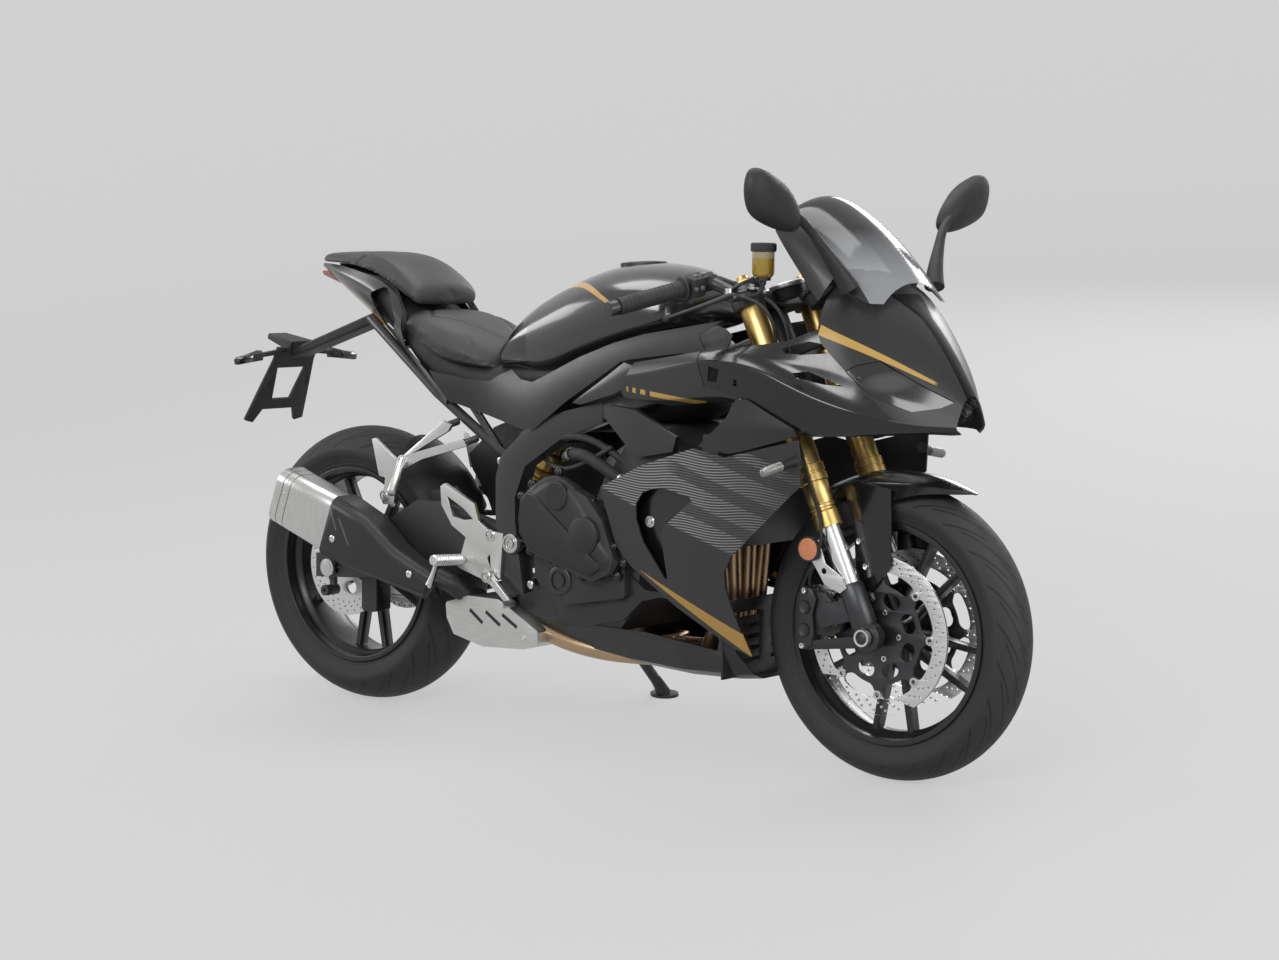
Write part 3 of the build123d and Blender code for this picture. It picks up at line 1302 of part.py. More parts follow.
def report(name, point):
    """Print a named point of the upright bike as it lies in the part's own frame."""
    spot = bike_to_part * Location(Vector(point))
    print(name, *[round(value, 4) for value in spot.position])


print("box", [round(value, 2) for value in low + high])
for name, point in (
    ("bike_origin", (0, 0, 0)), ("bike_x", (1000, 0, 0)), ("bike_y", (0, 1000, 0)), ("bike_z", (0, 0, 1000)),
    ("rear_axle", rear_axle_point), ("front_axle", front_axle_point), ("steer_root", steer_plane.origin),
    ("steer_up", steer_plane.origin + steer_plane.z_dir * 1000), ("stand_pivot", stand_pivot),
    ("stand_axis", Vector(stand_pivot) + stand_axis * 1000), ("stand_foot", foot_bottom),
    ("stem_bore", steer_plane.origin + steer_plane.z_dir * (stem_top - stem_bore_depth / 2)),
    ("bobbin_left", (bobbin_x, arm_outer + bobbin_reach - bobbin_depth / 2, bobbin_z)),
    ("bobbin_right", (bobbin_x, -arm_outer - bobbin_reach + bobbin_depth / 2, bobbin_z)),
    ("plate_bolt_left", hanger_plane.from_local_coords((plate_bolt_y, plate_bolt_up, hanger_wall / 2))),
    ("plate_bolt_right", hanger_plane.from_local_coords((-plate_bolt_y, plate_bolt_up, hanger_wall / 2))),
    ("plate_normal", hanger_plane.from_local_coords((0, 0, 1000))), ("plate_root", hanger_plane.origin),
):
    report(name, point)
print("stand_travel", round(stand_travel, 2))
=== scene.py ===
import json
import math

import bpy
from mathutils import Matrix, Vector


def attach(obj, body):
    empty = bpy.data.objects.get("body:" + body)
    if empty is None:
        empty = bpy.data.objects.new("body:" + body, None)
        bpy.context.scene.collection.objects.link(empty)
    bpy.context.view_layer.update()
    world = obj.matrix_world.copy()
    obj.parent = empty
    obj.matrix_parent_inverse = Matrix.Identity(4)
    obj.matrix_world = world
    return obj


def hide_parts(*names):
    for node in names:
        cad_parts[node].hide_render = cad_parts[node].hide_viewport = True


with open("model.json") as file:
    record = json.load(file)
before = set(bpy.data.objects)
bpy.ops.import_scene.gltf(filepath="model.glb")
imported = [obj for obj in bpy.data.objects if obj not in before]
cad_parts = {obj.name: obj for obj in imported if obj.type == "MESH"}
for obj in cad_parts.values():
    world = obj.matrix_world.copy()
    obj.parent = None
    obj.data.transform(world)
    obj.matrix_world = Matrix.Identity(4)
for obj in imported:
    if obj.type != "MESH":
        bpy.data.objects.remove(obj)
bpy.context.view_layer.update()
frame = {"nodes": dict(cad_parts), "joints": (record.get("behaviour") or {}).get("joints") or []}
nodes = frame["nodes"]

# ---------------------------------------------------------------- stance, camera and studio
# The bike leans ten degrees on its side stand. Pieces are modelled on the upright bike, in metres:
# X forward from the rear axle, Y to the rider's left, Z up from the road, and then leaned over.
joint_at = {joint["name"]: Vector(joint["pos_m"]) for joint in frame["joints"]}
lean = math.radians(10)
rear_axle = Vector((0, 0, 0.315))
front_axle = Vector((1.44, 0, 0.300))
along = (joint_at["front_wheel_spin"] - joint_at["rear_wheel_spin"]).normalized()
across = Vector((0, math.cos(lean), -math.sin(lean)))
drop = math.atan2(rear_axle.z - front_axle.z, front_axle.x)
level = (along - along.dot(across) * across).normalized()
leaned = Matrix((level, across, level.cross(across))).transposed() @ Matrix.Rotation(-drop, 3, "Y")
stance = Matrix.Translation(joint_at["rear_wheel_spin"] - leaned @ rear_axle) @ leaned.to_4x4()

camera_at = Vector((4.5284, -4.7441, 1.1324))
camera_right = Vector((0.783, 0.621, 0.013))
camera_up = Vector((-0.069, 0.066, 0.995))
focal_length = 80.13
side_axis = camera_right.normalized()
back_axis = side_axis.cross(camera_up).normalized()
up_axis = back_axis.cross(side_axis)
camera_turn = Matrix((side_axis, up_axis, back_axis)).transposed().to_4x4()
lens = bpy.data.cameras.new("camera")
lens.lens = focal_length
lens.sensor_width = 36
lens.clip_end = 50
camera = bpy.data.objects.new("camera", lens)
bpy.context.scene.collection.objects.link(camera)
camera.matrix_world = stance @ Matrix.Translation(camera_at) @ camera_turn
bpy.context.scene.camera = camera
bpy.context.scene.view_settings.view_transform = "Standard"

# A plain pale floor and backdrop of one brightness, five soft boxes and a dim room. What the camera,
# mirrors and glass see of the backdrop lights nothing. The floor keeps the bike's shadow, and it
# glows a little more far out, where the soft boxes no longer reach.
backdrop_level = 0.637
bpy.ops.object.select_all(action="DESELECT")
bpy.ops.mesh.primitive_circle_add(vertices=96, radius=60, fill_type="NGON")
floor = bpy.context.object
floor.name = "floor"
pale = bpy.data.materials.new("floor")
pale.use_nodes = True
floor.data.materials.append(pale)


def seen_only(tree, lit, glow_and_painted_sheen):
    """Adds a glow that only the camera, mirrors and glass see."""
    rays = tree.nodes.new("ShaderNodeLightPath")
    any_ray = rays.outputs["Is Camera Ray"]
    for kind in ("Is Glossy Ray", "Is Transmission Ray"):
        either = tree.nodes.new("ShaderNodeMath")
        either.operation = "MAXIMUM"
        tree.links.new(any_ray, either.inputs[0])
        tree.links.new(rays.outputs[kind], either.inputs[1])
        any_ray = either.outputs[0]
    mix = tree.nodes.new("ShaderNodeMixShader")
    tree.links.new(any_ray, mix.inputs["Fac"])
    tree.links.new(lit, mix.inputs[1])
    tree.links.new(glow_and_painted_sheen, mix.inputs[2])
    return mix.outputs["Shader"]


ground = pale.node_tree
matt = ground.nodes["Principled BSDF"]
matt.inputs["Base Color"].default_value = (0.09, 0.09, 0.089, 1)
matt.inputs["Roughness"].default_value = 0.9
place = ground.nodes.new("ShaderNodeTexCoord")
distance = ground.nodes.new("ShaderNodeVectorMath")
distance.operation = "LENGTH"
ground.links.new(place.outputs["Object"], distance.inputs[0])
falloff = ground.nodes.new("ShaderNodeMapRange")
falloff.interpolation_type = "SMOOTHSTEP"
for key, value in {"From Min": 0.6, "From Max": 10.0, "To Min": 0.50, "To Max": 0.555}.items():
    falloff.inputs[key].default_value = value
ground.links.new(distance.outputs["Value"], falloff.inputs["Value"])
glow_and_painted_sheen = ground.nodes.new("ShaderNodeEmission")
ground.links.new(falloff.outputs["Result"], glow_and_painted_sheen.inputs["Strength"])
both = ground.nodes.new("ShaderNodeAddShader")
ground.links.new(matt.outputs["BSDF"], both.inputs[0])
ground.links.new(glow_and_painted_sheen.outputs["Emission"], both.inputs[1])
ground.links.new(seen_only(ground, matt.outputs["BSDF"], both.outputs["Shader"]),
                 ground.nodes["Material Output"].inputs["Surface"])

room = bpy.data.worlds.new("room")
bpy.context.scene.world = room
room.use_nodes = True
air = room.node_tree
room_light = air.nodes["Background"]
room_light.inputs["Color"].default_value = (0.93, 0.95, 1.0, 1)
room_light.inputs["Strength"].default_value = 0.42
backdrop = air.nodes.new("ShaderNodeBackground")
backdrop.inputs["Color"].default_value = (backdrop_level, backdrop_level, backdrop_level, 1)
air.links.new(seen_only(air, room_light.outputs["Background"], backdrop.outputs["Background"]),
              air.nodes["World Output"].inputs["Surface"])

soft_boxes = (
    # name, place on the upright bike, width, length, watts
    ("right", (1.4, -3.6, 2.3), 0.9, 3.2, 95),
    ("overhead", (0.5, 0.2, 3.2), 1.2, 3.4, 60),
    ("front", (4.4, -0.6, 1.6), 1.2, 1.8, 45),
    ("left", (0.4, 4.4, 2.6), 1.0, 3.0, 90),
    ("rear", (-3.2, -1.4, 1.8), 1.2, 1.8, 40),
)
aim = stance @ Vector((0.7, 0, 0.6))
for name, place, width, length, watts in soft_boxes:
    light = bpy.data.lights.new(name, "AREA")
    light.shape = "RECTANGLE"
    light.size = length
    light.size_y = width
    light.energy = watts
    box = bpy.data.objects.new(name, light)
    bpy.context.scene.collection.objects.link(box)
    box.location = stance @ Vector(place)
    box.rotation_euler = (aim - box.location).to_track_quat("-Z", "Y").to_euler()


# ---------------------------------------------------------------- finishes
class Paint:
    """A value in the material being made: arithmetic on it adds the nodes."""

    tree = None

    def __init__(self, socket):
        self.socket = socket

    @classmethod
    def node(cls, kind, settings=(), out=0, **sockets):
        """Adds a node of that type with its settings, then its sockets' values or links."""
        made = cls.tree.nodes.new("ShaderNode" + kind)
        for key, value in dict(settings).items():
            setattr(made, key, value)
        for key, value in sockets.items():
            socket = made.inputs[int(key[1:]) if key[1:].isdigit() else key.replace("_", " ")]
            if isinstance(value, Paint):
                cls.tree.links.new(value.socket, socket)
            else:
                socket.default_value = value
        return cls(made.outputs[out])

    def by(self, operation, *others):
        sockets = {f"i{place}": value for place, value in enumerate((self, *others))}
        return Paint.node("Math", {"operation": operation}, **sockets)

    def __add__(self, other):
        return self.by("ADD", other)

    def __sub__(self, other):
        return self.by("SUBTRACT", other)

    def __rsub__(self, other):
        return Paint.node("Math", {"operation": "SUBTRACT"}, i0=other, i1=self)

    def __mul__(self, other):
        return self.by("MULTIPLY", other)

    def __truediv__(self, other):
        return self.by("DIVIDE", other)

    __radd__, __rmul__ = __add__, __mul__

    def step(self, low, high):
        """0 below low, 1 above high and a clean ramp between."""
        return Paint.node("MapRange", {}, Value=self, From_Min=low, From_Max=high)

    def band(self, low, high, blur=0.0006):
        """1 between two values, 0 outside."""
        return self.step(low - blur, low + blur) * (1 - self.step(high - blur, high + blur))


def spot():
    """Position on the upright bike, in metres, read from the piece's own coordinates."""
    upright = stance.inverted()
    return Paint.node("Mapping", {"vector_type": "POINT"}, Vector=Paint.node("TexCoord", out="Object"),
                      Location=upright.to_translation(), Rotation=upright.to_euler())


def grain(scale, detail=3, stretch=None):
    """Noise of a given fineness, stretched along the bike's axes where asked."""
    where = spot()
    if stretch:
        where = Paint.node("VectorMath", {"operation": "MULTIPLY"}, i0=where, i1=stretch)
    return Paint.node("TexNoise", Vector=where, Scale=scale, Detail=detail, Roughness=0.6)


def mixed(mask, base, over):
    """One colour laid over another through a mask."""
    return Paint.node("Mix", {"data_type": "RGBA"}, out=2, i0=mask, i6=base, i7=over)


def bumped(height, depth):
    """A normal raised by a height of 0 to 1 times the depth in metres."""
    return Paint.node("Bump", Height=height, Distance=depth, Strength=1.0)


class Finish:
    """A material under way: its tree, its shader and what has been set on it."""

    def __init__(self, name, colour, roughness, metal=0.0, **sockets):
        self.material = bpy.data.materials.new(name)
        self.material.use_nodes = True
        self.shader = self.material.node_tree.nodes["Principled BSDF"]
        Paint.tree = self.material.node_tree
        self.set(Base_Color=(*colour, 1), Roughness=roughness, Metallic=metal, **sockets)

    def set(self, **sockets):
        for key, value in sockets.items():
            socket = self.shader.inputs[key.replace("_", " ")]
            if isinstance(value, Paint):
                Paint.tree.links.new(value.socket, socket)
            else:
                socket.default_value = value
        return self


def tinted(colour, amount):
    """A colour made lighter or darker."""
    return tuple(channel * amount for channel in colour)


def worn(name, colour, roughness, metal=0.0, spread=0.12, fine=900, depth=0.00004, dust=0.1, **sockets):
    """A finish whose colour and gloss drift a little over the surface, with a fine grain."""
    made = Finish(name, colour, roughness, metal, **sockets)
    broad = grain(7, 4)
    tight = grain(fine, 2)
    made.set(Base_Color=mixed(broad.step(0.3, 0.7), (*tinted(colour, 1 - spread), 1),
                              (*tinted(colour, 1 + spread), 1)),
             Roughness=roughness * (1 - dust) + grain(45, 3).step(0.35, 0.7) * roughness * dust * 2,
             Normal=bumped(tight, depth))
    return made


# ---------------------------------------------------------------- frame, swingarm and subframe
# Cast and welded aluminium, sprayed a satin dark grey with a little sparkle. The castings come
# from the frame as they are, with their edges broken and the plain colours of their finish.
seam_gap = 0.00002


def alone(piece):
    """Makes a piece the only one selected, and the active one."""
    bpy.ops.object.select_all(action="DESELECT")
    piece.select_set(True)
    bpy.context.view_layer.objects.active = piece


def softened(node, finish, edge=0.0012):
    """Breaks the edges of a carried-over casting and paints it."""
    piece = nodes[node]
    piece.data.materials.clear()
    piece.data.materials.append(finish.material)
    weld = piece.modifiers.new("joined faces", "WELD")
    weld.merge_threshold = seam_gap
    if edge:
        bevel = piece.modifiers.new("broken edges", "BEVEL")
        bevel.width = edge
        bevel.segments = 2
        bevel.limit_method = "ANGLE"
        bevel.angle_limit = math.radians(38)
        bevel.harden_normals = False
    for face in piece.data.polygons:
        face.use_smooth = True
    alone(piece)
    bpy.ops.object.shade_smooth_by_angle(angle=math.radians(32))


frame_grey = worn("frame_grey", (0.034, 0.034, 0.036), 0.46, 0.4, spread=0.1, fine=1400, depth=0.00005,
                  Coat_Weight=0.25, Coat_Roughness=0.25)
satin_black = worn("satin_black", (0.016, 0.016, 0.017), 0.38, 0.0, spread=0.1, fine=1800, depth=0.00002,
                   dust=0.15, Coat_Weight=0.2, Coat_Roughness=0.3, Specular_IOR_Level=0.35)
gloss_black = worn("gloss_black", (0.006, 0.006, 0.007), 0.24, 0.0, spread=0.1, fine=60, depth=0.000004,
                   dust=0.2, Coat_Weight=0.45, Coat_Roughness=0.12, Specular_IOR_Level=0.35)
moulded_black = worn("moulded_black", (0.014, 0.014, 0.015), 0.6, 0.0, spread=0.12, fine=1600, depth=0.00012,
                     Specular_IOR_Level=0.4)
dark_alloy = worn("dark_alloy", (0.055, 0.056, 0.059), 0.4, 0.8, spread=0.12, fine=1500, depth=0.00003)
bright_alloy = worn("bright_alloy", (0.60, 0.60, 0.59), 0.34, 0.95, spread=0.06, fine=2200, depth=0.00001)
steel = worn("steel", (0.55, 0.55, 0.54), 0.28, 1.0, spread=0.08, fine=2000, depth=0.000006)
cast_grey = worn("cast_grey", (0.032, 0.032, 0.034), 0.52, 0.4, spread=0.15, fine=900, depth=0.0001)
rubber = worn("rubber", (0.02, 0.02, 0.021), 0.72, 0.0, spread=0.15, fine=700, depth=0.00015)
gold_alloy = worn("gold_alloy", (0.56, 0.39, 0.14), 0.34, 1.0, spread=0.08, fine=2400, depth=0.000002)
chrome = worn("chrome", (0.72, 0.72, 0.73), 0.22, 1.0, spread=0.03, fine=2400, depth=0.000001)
wheel_black = worn("wheel_black", (0.011, 0.011, 0.012), 0.36, 0.0, spread=0.1, fine=1500, depth=0.000006,
                   Coat_Weight=0.3, Coat_Roughness=0.2, Specular_IOR_Level=0.35)
red_lens = Finish("red_lens", (0.3, 0.01, 0.01), 0.12, 0.0, Coat_Weight=1.0)

plain = {
    frame_grey: "main_frame subframe swingarm lower_yoke upper_yoke fairing_stay",
    moulded_black: "hugger plate_hanger rear_signals instrument",
    dark_alloy: "rear_caliper handlebars radiator side_stand",
    bright_alloy: "rider_footrests passenger_footrests",
    steel: "rear_axle",
    cast_grey: "engine engine_covers",
    gold_alloy: "shock_absorber",
    wheel_black: "front_rim rear_rim",
    red_lens: "tail_light",
}
for finish, names in plain.items():
    for name in names.split():
        softened(name, finish)


# ---------------------------------------------------------------- fairing shells
# Injection-moulded panels, three or four millimetres thick, over the stay and the frame. Each is drawn as
# half sections from back to front, smoothed, given its wall and then trimmed to its outline.
thousandth = 0.001


def apply(piece, kind, **settings):
    """Adds a modifier with its settings and applies it."""
    alone(piece)
    modifier = piece.modifiers.new(kind.lower(), kind)
    for key, value in settings.items():
        setattr(modifier, key, value)
    bpy.ops.object.modifier_apply(modifier=modifier.name)
    return piece


def outward(piece, fill=False):
    """Merges doubles, fills the open ends where asked and turns every face outwards."""
    alone(piece)
    bpy.ops.object.mode_set(mode="EDIT")
    bpy.ops.mesh.select_all(action="SELECT")
    bpy.ops.mesh.remove_doubles(threshold=seam_gap)
    if fill:
        bpy.ops.mesh.fill_holes(sides=0)
        bpy.ops.mesh.select_all(action="SELECT")
    bpy.ops.mesh.normals_make_consistent(inside=False)
    bpy.ops.object.mode_set(mode="OBJECT")
    return piece


def settle(piece, name, body, finish, stands_for=(), angle=35):
    """Smooths, names and leans a finished piece, and hands it to the body it moves with."""
    alone(piece)
    bpy.ops.object.shade_smooth_by_angle(angle=math.radians(angle))
    piece.data.transform(stance @ piece.matrix_world)
    piece.matrix_world = Matrix.Identity(4)
    piece.name = piece.data.name = name
    piece.data.materials.clear()
    piece.data.materials.append(finish.material)
    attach(piece, body)
    if stands_for:
        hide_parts(*stands_for)
    return piece


def grid_of(rows, sharp=()):
    """A grid laid through rows of points, with creases along the sharp columns."""
    bpy.ops.object.select_all(action="DESELECT")
    across_count = len(rows[0])
    bpy.ops.mesh.primitive_grid_add(x_subdivisions=across_count - 1, y_subdivisions=len(rows) - 1, size=1)
    piece = bpy.context.object
    points = [point for row in rows for point in row]
    if len(points) != len(piece.data.vertices):
        raise SystemExit(f"grid {len(piece.data.vertices)} for {len(points)} points")
    for vertex, point in zip(piece.data.vertices, points):
        vertex.co = Vector(point) * thousandth
    if sharp:
        crease = piece.data.attributes.new("crease_edge", "FLOAT", "EDGE")
        for edge in piece.data.edges:
            first, second = (index % across_count for index in edge.vertices)
            if first == second and first in sharp:
                crease.data[edge.index].value = sharp[first]
    return piece


def shell(rows, wall, sharp=(), levels=3, whole=False):
    """Smooth moulded shell, right and left, through half sections of (y, z) at each x."""
    grid = grid_of([[(x, -y, z) for y, z in half] for x, half in rows], dict(sharp))
    middle = len(grid.data.polygons) // 2
    face = grid.data.polygons[middle]
    if face.normal.y > 0 or (abs(face.normal.y) < 0.2 and face.normal.z < 0):
        grid.data.flip_normals()
    if whole:
        apply(grid, "MIRROR", use_axis=(False, True, False), merge_threshold=0.0008)
    apply(grid, "SUBSURF", levels=levels, render_levels=levels, boundary_smooth="PRESERVE_CORNERS")
    apply(grid, "SOLIDIFY", thickness=wall * thousandth, offset=-1)
    if not whole:
        apply(grid, "MIRROR", use_axis=(False, True, False), use_mirror_merge=False)
    return grid


def prism(outline, near=-400, far=400):
    """A side-view outline of (x, z), carried across the bike from near to far."""
    bpy.ops.object.select_all(action="DESELECT")
    bpy.ops.mesh.primitive_circle_add(vertices=len(outline), fill_type="NGON")
    piece = bpy.context.object
    for vertex, (x, z) in zip(piece.data.vertices, outline):
        vertex.co = (x * thousandth, near * thousandth, z * thousandth)
    bpy.ops.object.mode_set(mode="EDIT")
    bpy.ops.mesh.select_all(action="SELECT")
    bpy.ops.mesh.extrude_region_move(TRANSFORM_OT_translate={"value": (0, (far - near) * thousandth, 0)})
    bpy.ops.object.mode_set(mode="OBJECT")
    return outward(piece)


def trimmed(piece, tool, operation="INTERSECT"):
    """Cuts a piece with a tool, and throws the tool away."""
    apply(piece, "BOOLEAN", object=tool, operation=operation, solver="EXACT")
    bpy.data.objects.remove(tool)
    return piece


def panel(form, wall, outline, sharp=(), **settings):
    """A moulded shell, trimmed to its side-view outline."""
    return trimmed(shell(form, wall, sharp, **settings), prism(outline))


def sunk(form, depth):
    """A form drawn in from the side of the bike."""
    return [(x, [(y - depth, z) for y, z in half]) for x, half in form]


def copied(piece):
    """A separate copy of a piece."""
    copy = piece.copy()
    copy.data = piece.data.copy()
    bpy.context.scene.collection.objects.link(copy)
    return copy


# rows: x, then (y, z) for the lip, lower edge, ridge, trough, shoulder, stripe line, crown and centre
upper_form = (
    (880, [(190, 735), (207, 748), (211, 790), (207, 806), (202, 815), (192, 838), (120, 905), (0, 925)]),
    (1000, [(205, 735), (226, 748), (230, 810), (224, 826), (216, 836), (205, 850), (130, 920), (0, 940)]),
    (1107, [(220, 750), (240, 764), (247, 838), (240, 846), (232, 852), (216, 862), (145, 940), (0, 965)]),
    (1190, [(222, 758), (245, 770), (252, 836), (242, 846), (233, 854), (216, 868), (160, 955), (0, 990)]),
    (1260, [(220, 738), (243, 748), (253, 828), (238, 838), (233, 850), (214, 876), (172, 970), (0, 1015)]),
    (1340, [(212, 692), (236, 702), (248, 793), (229, 812), (227, 838), (211, 896), (165, 990), (0, 1045)]),
    (1400, [(196, 690), (221, 700), (235, 768), (219, 790), (214, 830), (196, 908), (146, 985), (0, 1022)]),
    (1450, [(176, 694), (200, 704), (213, 750), (200, 774), (192, 816), (166, 878), (118, 945), (0, 982)]),
    (1500, [(150, 699), (174, 708), (185, 738), (175, 752), (164, 790), (132, 842), (90, 897), (0, 932)]),
    (1550, [(102, 701), (123, 710), (131, 724), (125, 735), (113, 760), (86, 806), (58, 843), (0, 866)]),
    (1598, [(34, 704), (48, 711), (53, 719), (50, 726), (44, 738), (30, 762), (18, 775), (0, 780)]),
)
ridges = {1: 0.5, 2: 0.85, 4: 0.75, 5: 0.5}
upper = shell(upper_form, 4, ridges, whole=True)
nose_line = [(1369, 905), (1380, 880), (1434, 826), (1532, 725), (1565, 706)]
side_outline = [(1107, 850), (1230, 869), (1305, 880), *nose_line, (1348, 696), (1218, 765), (1130, 783)]
nose_outline = [*nose_line, (1612, 700), (1612, 800), (1500, 1015), (1440, 1060), (1366, 1060), (1362, 960)]
mid_outline = [(889, 761), (922, 822), (1104, 852), (1127, 785), (1214, 765), (1186, 723), (900, 750)]

side_panel = trimmed(copied(upper), prism(side_outline))
slots = (
    [(1302, 866), (1356, 882), (1450, 868), (1410, 861), (1343, 855), (1307, 857)],
    [(1332, 820), (1365, 824), (1392, 814), (1436, 797), (1398, 800), (1341, 811)],
)
for slot in slots:
    trimmed(side_panel, prism(slot), "DIFFERENCE")
for x, z, half in ((1152, 810, 15), (1206, 796, 7)):
    hole = [(x - half, z - half), (x + half * 0.6, z - half), (x + half, z + half * 0.7),
            (x - half * 0.7, z + half)]
    trimmed(side_panel, prism(hole), "DIFFERENCE")
nose = trimmed(copied(upper), prism(nose_outline))
lamp_outline = [(1430, 824), (1447, 838), (1482, 848), (1530, 812), (1588, 768), (1574, 757), (1540, 750),
                (1482, 780)]
trimmed(nose, prism(lamp_outline), "DIFFERENCE")
mid_panel = trimmed(upper, prism(mid_outline))
settle(side_panel, "upper_side_panel", "frame", gloss_black, ["upper_side_panels"])


# ---------------------------------------------------------------- side fairings
# Satin panels with a printed band of fine grey lines, a scooped vent round a fixing bolt, and a
# gold wedge along the lower edge. A folded wing panel closes the gap above them.
def bike_axes():
    """Position on the upright bike, split into x, y and z."""
    apart = Paint.node("SeparateXYZ", Vector=spot())
    node = apart.socket.node
    return [Paint(node.outputs[axis]) for axis in range(3)]


printed = worn("printed_fairing", (0.017, 0.017, 0.018), 0.36, fine=1800, depth=0.00002, dust=0.15,
               Coat_Weight=0.3, Coat_Roughness=0.25, Specular_IOR_Level=0.4)
x, y, z = bike_axes()
lines_per_metre = 180.0
band_low, band_high = 0.845, 1.075
wave = (x * 34 + 0.4).by("SINE") * 0.0035
lines = ((z + wave) * lines_per_metre).by("FRACT")
line = lines.band(0.0, 0.42, 0.06)
slope = z + x * 0.34
dark_bands = (slope * 14.5 + 0.1).by("FRACT").band(0.0, 0.42, 0.03) * x.step(1.02, 1.06)
printed_zone = (slope - band_low).step(0.0, 0.004) * (1 - (slope - band_high).step(0.0, 0.006))
fade = 1 - x.step(1.12, 1.34) * 0.75
outer_face = Paint.node("Attribute", {"attribute_name": "outside"}, out="Fac")
ink = line * printed_zone * fade * outer_face * (1 - dark_bands * 0.75)
edge_line = (z - 0.238) - (1.186 - x) * 0.62
wedge_top = (edge_line - (x - 0.93) * 0.16).step(0, 0.0008)
wedge = edge_line.step(0.0, 0.0008) * (1 - wedge_top) * x.step(0.93, 0.935)
colour = mixed(ink, (0.017, 0.017, 0.018, 1), (0.27, 0.27, 0.27, 1))
colour = mixed(wedge, colour, (0.42, 0.24, 0.055, 1))
printed.set(Base_Color=colour)

lower_form = (
    (820, [(150, 200), (158, 270), (178, 350), (194, 450), (207, 560), (211, 740)]),
    (960, [(152, 200), (163, 270), (188, 350), (207, 450), (224, 560), (229, 740)]),
    (1100, [(146, 200), (164, 270), (191, 350), (211, 450), (238, 560), (246, 740)]),
    (1180, [(134, 200), (163, 270), (186, 350), (205, 450), (237, 560), (250, 740)]),
    (1370, [(112, 200), (148, 270), (170, 350), (189, 450), (223, 560), (238, 740)]),
)
fairing_outline = ((835, 561), (958, 615), (1102, 660), (1179, 646), (1352, 690), (1354, 601),
                   (1262, 520), (1176, 448), (1152, 412), (1150, 380), (1157, 346), (1186, 238),
                   (1150, 250), (1020, 325), (905, 404), (872, 440), (855, 500))
vent = ((1013, 574), (1086, 560), (1092, 552), (1008, 492), (1000, 470), (1005, 385), (999, 383),
        (950, 455), (934, 500), (938, 535), (960, 562))
fairing = panel(lower_form, 4, fairing_outline, {4: 0.25})
trimmed(fairing, prism(vent), "DIFFERENCE")
outside = fairing.data.attributes.new("outside", "FLOAT", "FACE")
for face in fairing.data.polygons:
    outside.data[face.index].value = 1.0 if face.normal.y * face.center.y > 0 else 0.0
settle(fairing, "side_fairing", "frame", printed, ["side_fairings"])


recess = ((1025, 590), (1104, 566), (1030, 492), (1020, 400), (1010, 360), (985, 370), (938, 440),
          (918, 500), (924, 548))
settle(panel(sunk(lower_form, 22), 3, recess, levels=2), "vent_scoop", "frame", gloss_black)

wing_rows = (
    (1100, [(238, 640), (243, 668), (247, 700), (246, 770)]),
    (1180, [(243, 640), (249, 668), (252, 705), (249, 770)]),
    (1260, [(236, 640), (246, 672), (256, 712), (250, 770)]),
    (1350, [(228, 650), (236, 682), (244, 706), (238, 770)]),
    (1400, [(220, 660), (226, 690), (232, 710), (226, 770)]),
)
wing_outline = ((1114, 664), (1190, 654), (1220, 660), (1337, 693), (1352, 700), (1346, 712), (1238, 764),
                (1212, 764), (1186, 722))
settle(panel(wing_rows, 4, wing_outline, {2: 0.7}), "wing_panel", "frame", satin_black)


# ---------------------------------------------------------------- tank, covers, tail and screen
# Pressed steel tank above satin side covers, a hollow tail cowl with a duct through each flank,
# and a smoked polycarbonate screen that clears towards its foot between two painted flanks.
def closed_form(rows, sharp=(), levels=3):
    """A closed body lofted through half sections of (y, z), from the lowest point to the top."""
    loops = []
    for x, half in rows:
        right = [(x, -y, z) for y, z in half]
        left = [(x, y, z) for y, z in reversed(half) if y > 0]
        low = half[0][1]
        loops.append([(x, 0, low), *right, *left, (x, 0, low)])
    body = outward(grid_of(loops, dict(sharp)), fill=True)
    return apply(body, "SUBSURF", levels=levels, render_levels=levels)


tank_form = (
    (446, [(72, 776), (92, 792), (94, 812), (76, 832), (0, 842)]),
    (470, [(86, 780), (104, 798), (106, 826), (82, 856), (0, 868)]),
    (520, [(100, 787), (124, 815), (122, 862), (92, 908), (0, 922)]),
    (600, [(114, 768), (142, 816), (140, 892), (98, 950), (0, 966)]),
    (735, [(136, 824), (172, 866), (167, 948), (110, 1006), (0, 1022)]),
    (850, [(148, 860), (184, 892), (173, 968), (114, 1015), (0, 1029)]),
    (930, [(150, 884), (178, 907), (162, 962), (104, 1000), (0, 1014)]),
    (978, [(118, 896), (146, 914), (130, 944), (80, 970), (0, 979)]),
)
tank_paint = worn("tank_paint", (0.026, 0.026, 0.027), 0.34, 0.25, fine=1500, depth=0.00002, Coat_Weight=0.7,
                  Coat_Roughness=0.12)
x, y, z = bike_axes()
arc = z - (0.974 - (x - 0.700) * (x - 0.700) * 2.2)
stripe = arc.band(-0.006, 0.004) * x.step(0.50, 0.505) * (1 - x.step(0.835, 0.84))
stripe = stripe * y.by("ABSOLUTE").step(0.045, 0.05)
dark_rear = (1 - (x - 0.565 - (z - 0.85) * 0.05).step(0, 0.002)) * (1 - arc.step(-0.006, -0.004))
base = mixed(dark_rear, (0.026, 0.026, 0.027, 1), (0.010, 0.010, 0.011, 1))
tank_paint.set(Base_Color=mixed(stripe, base, (0.45, 0.28, 0.08, 1)),
               Roughness=0.34 - dark_rear * 0.2 - arc.step(0.004, 0.006) * 0.12)
tank = closed_form(tank_form, {3: 0.35})
settle(tank, "tank", "frame", tank_paint, ["fuel_tank"])

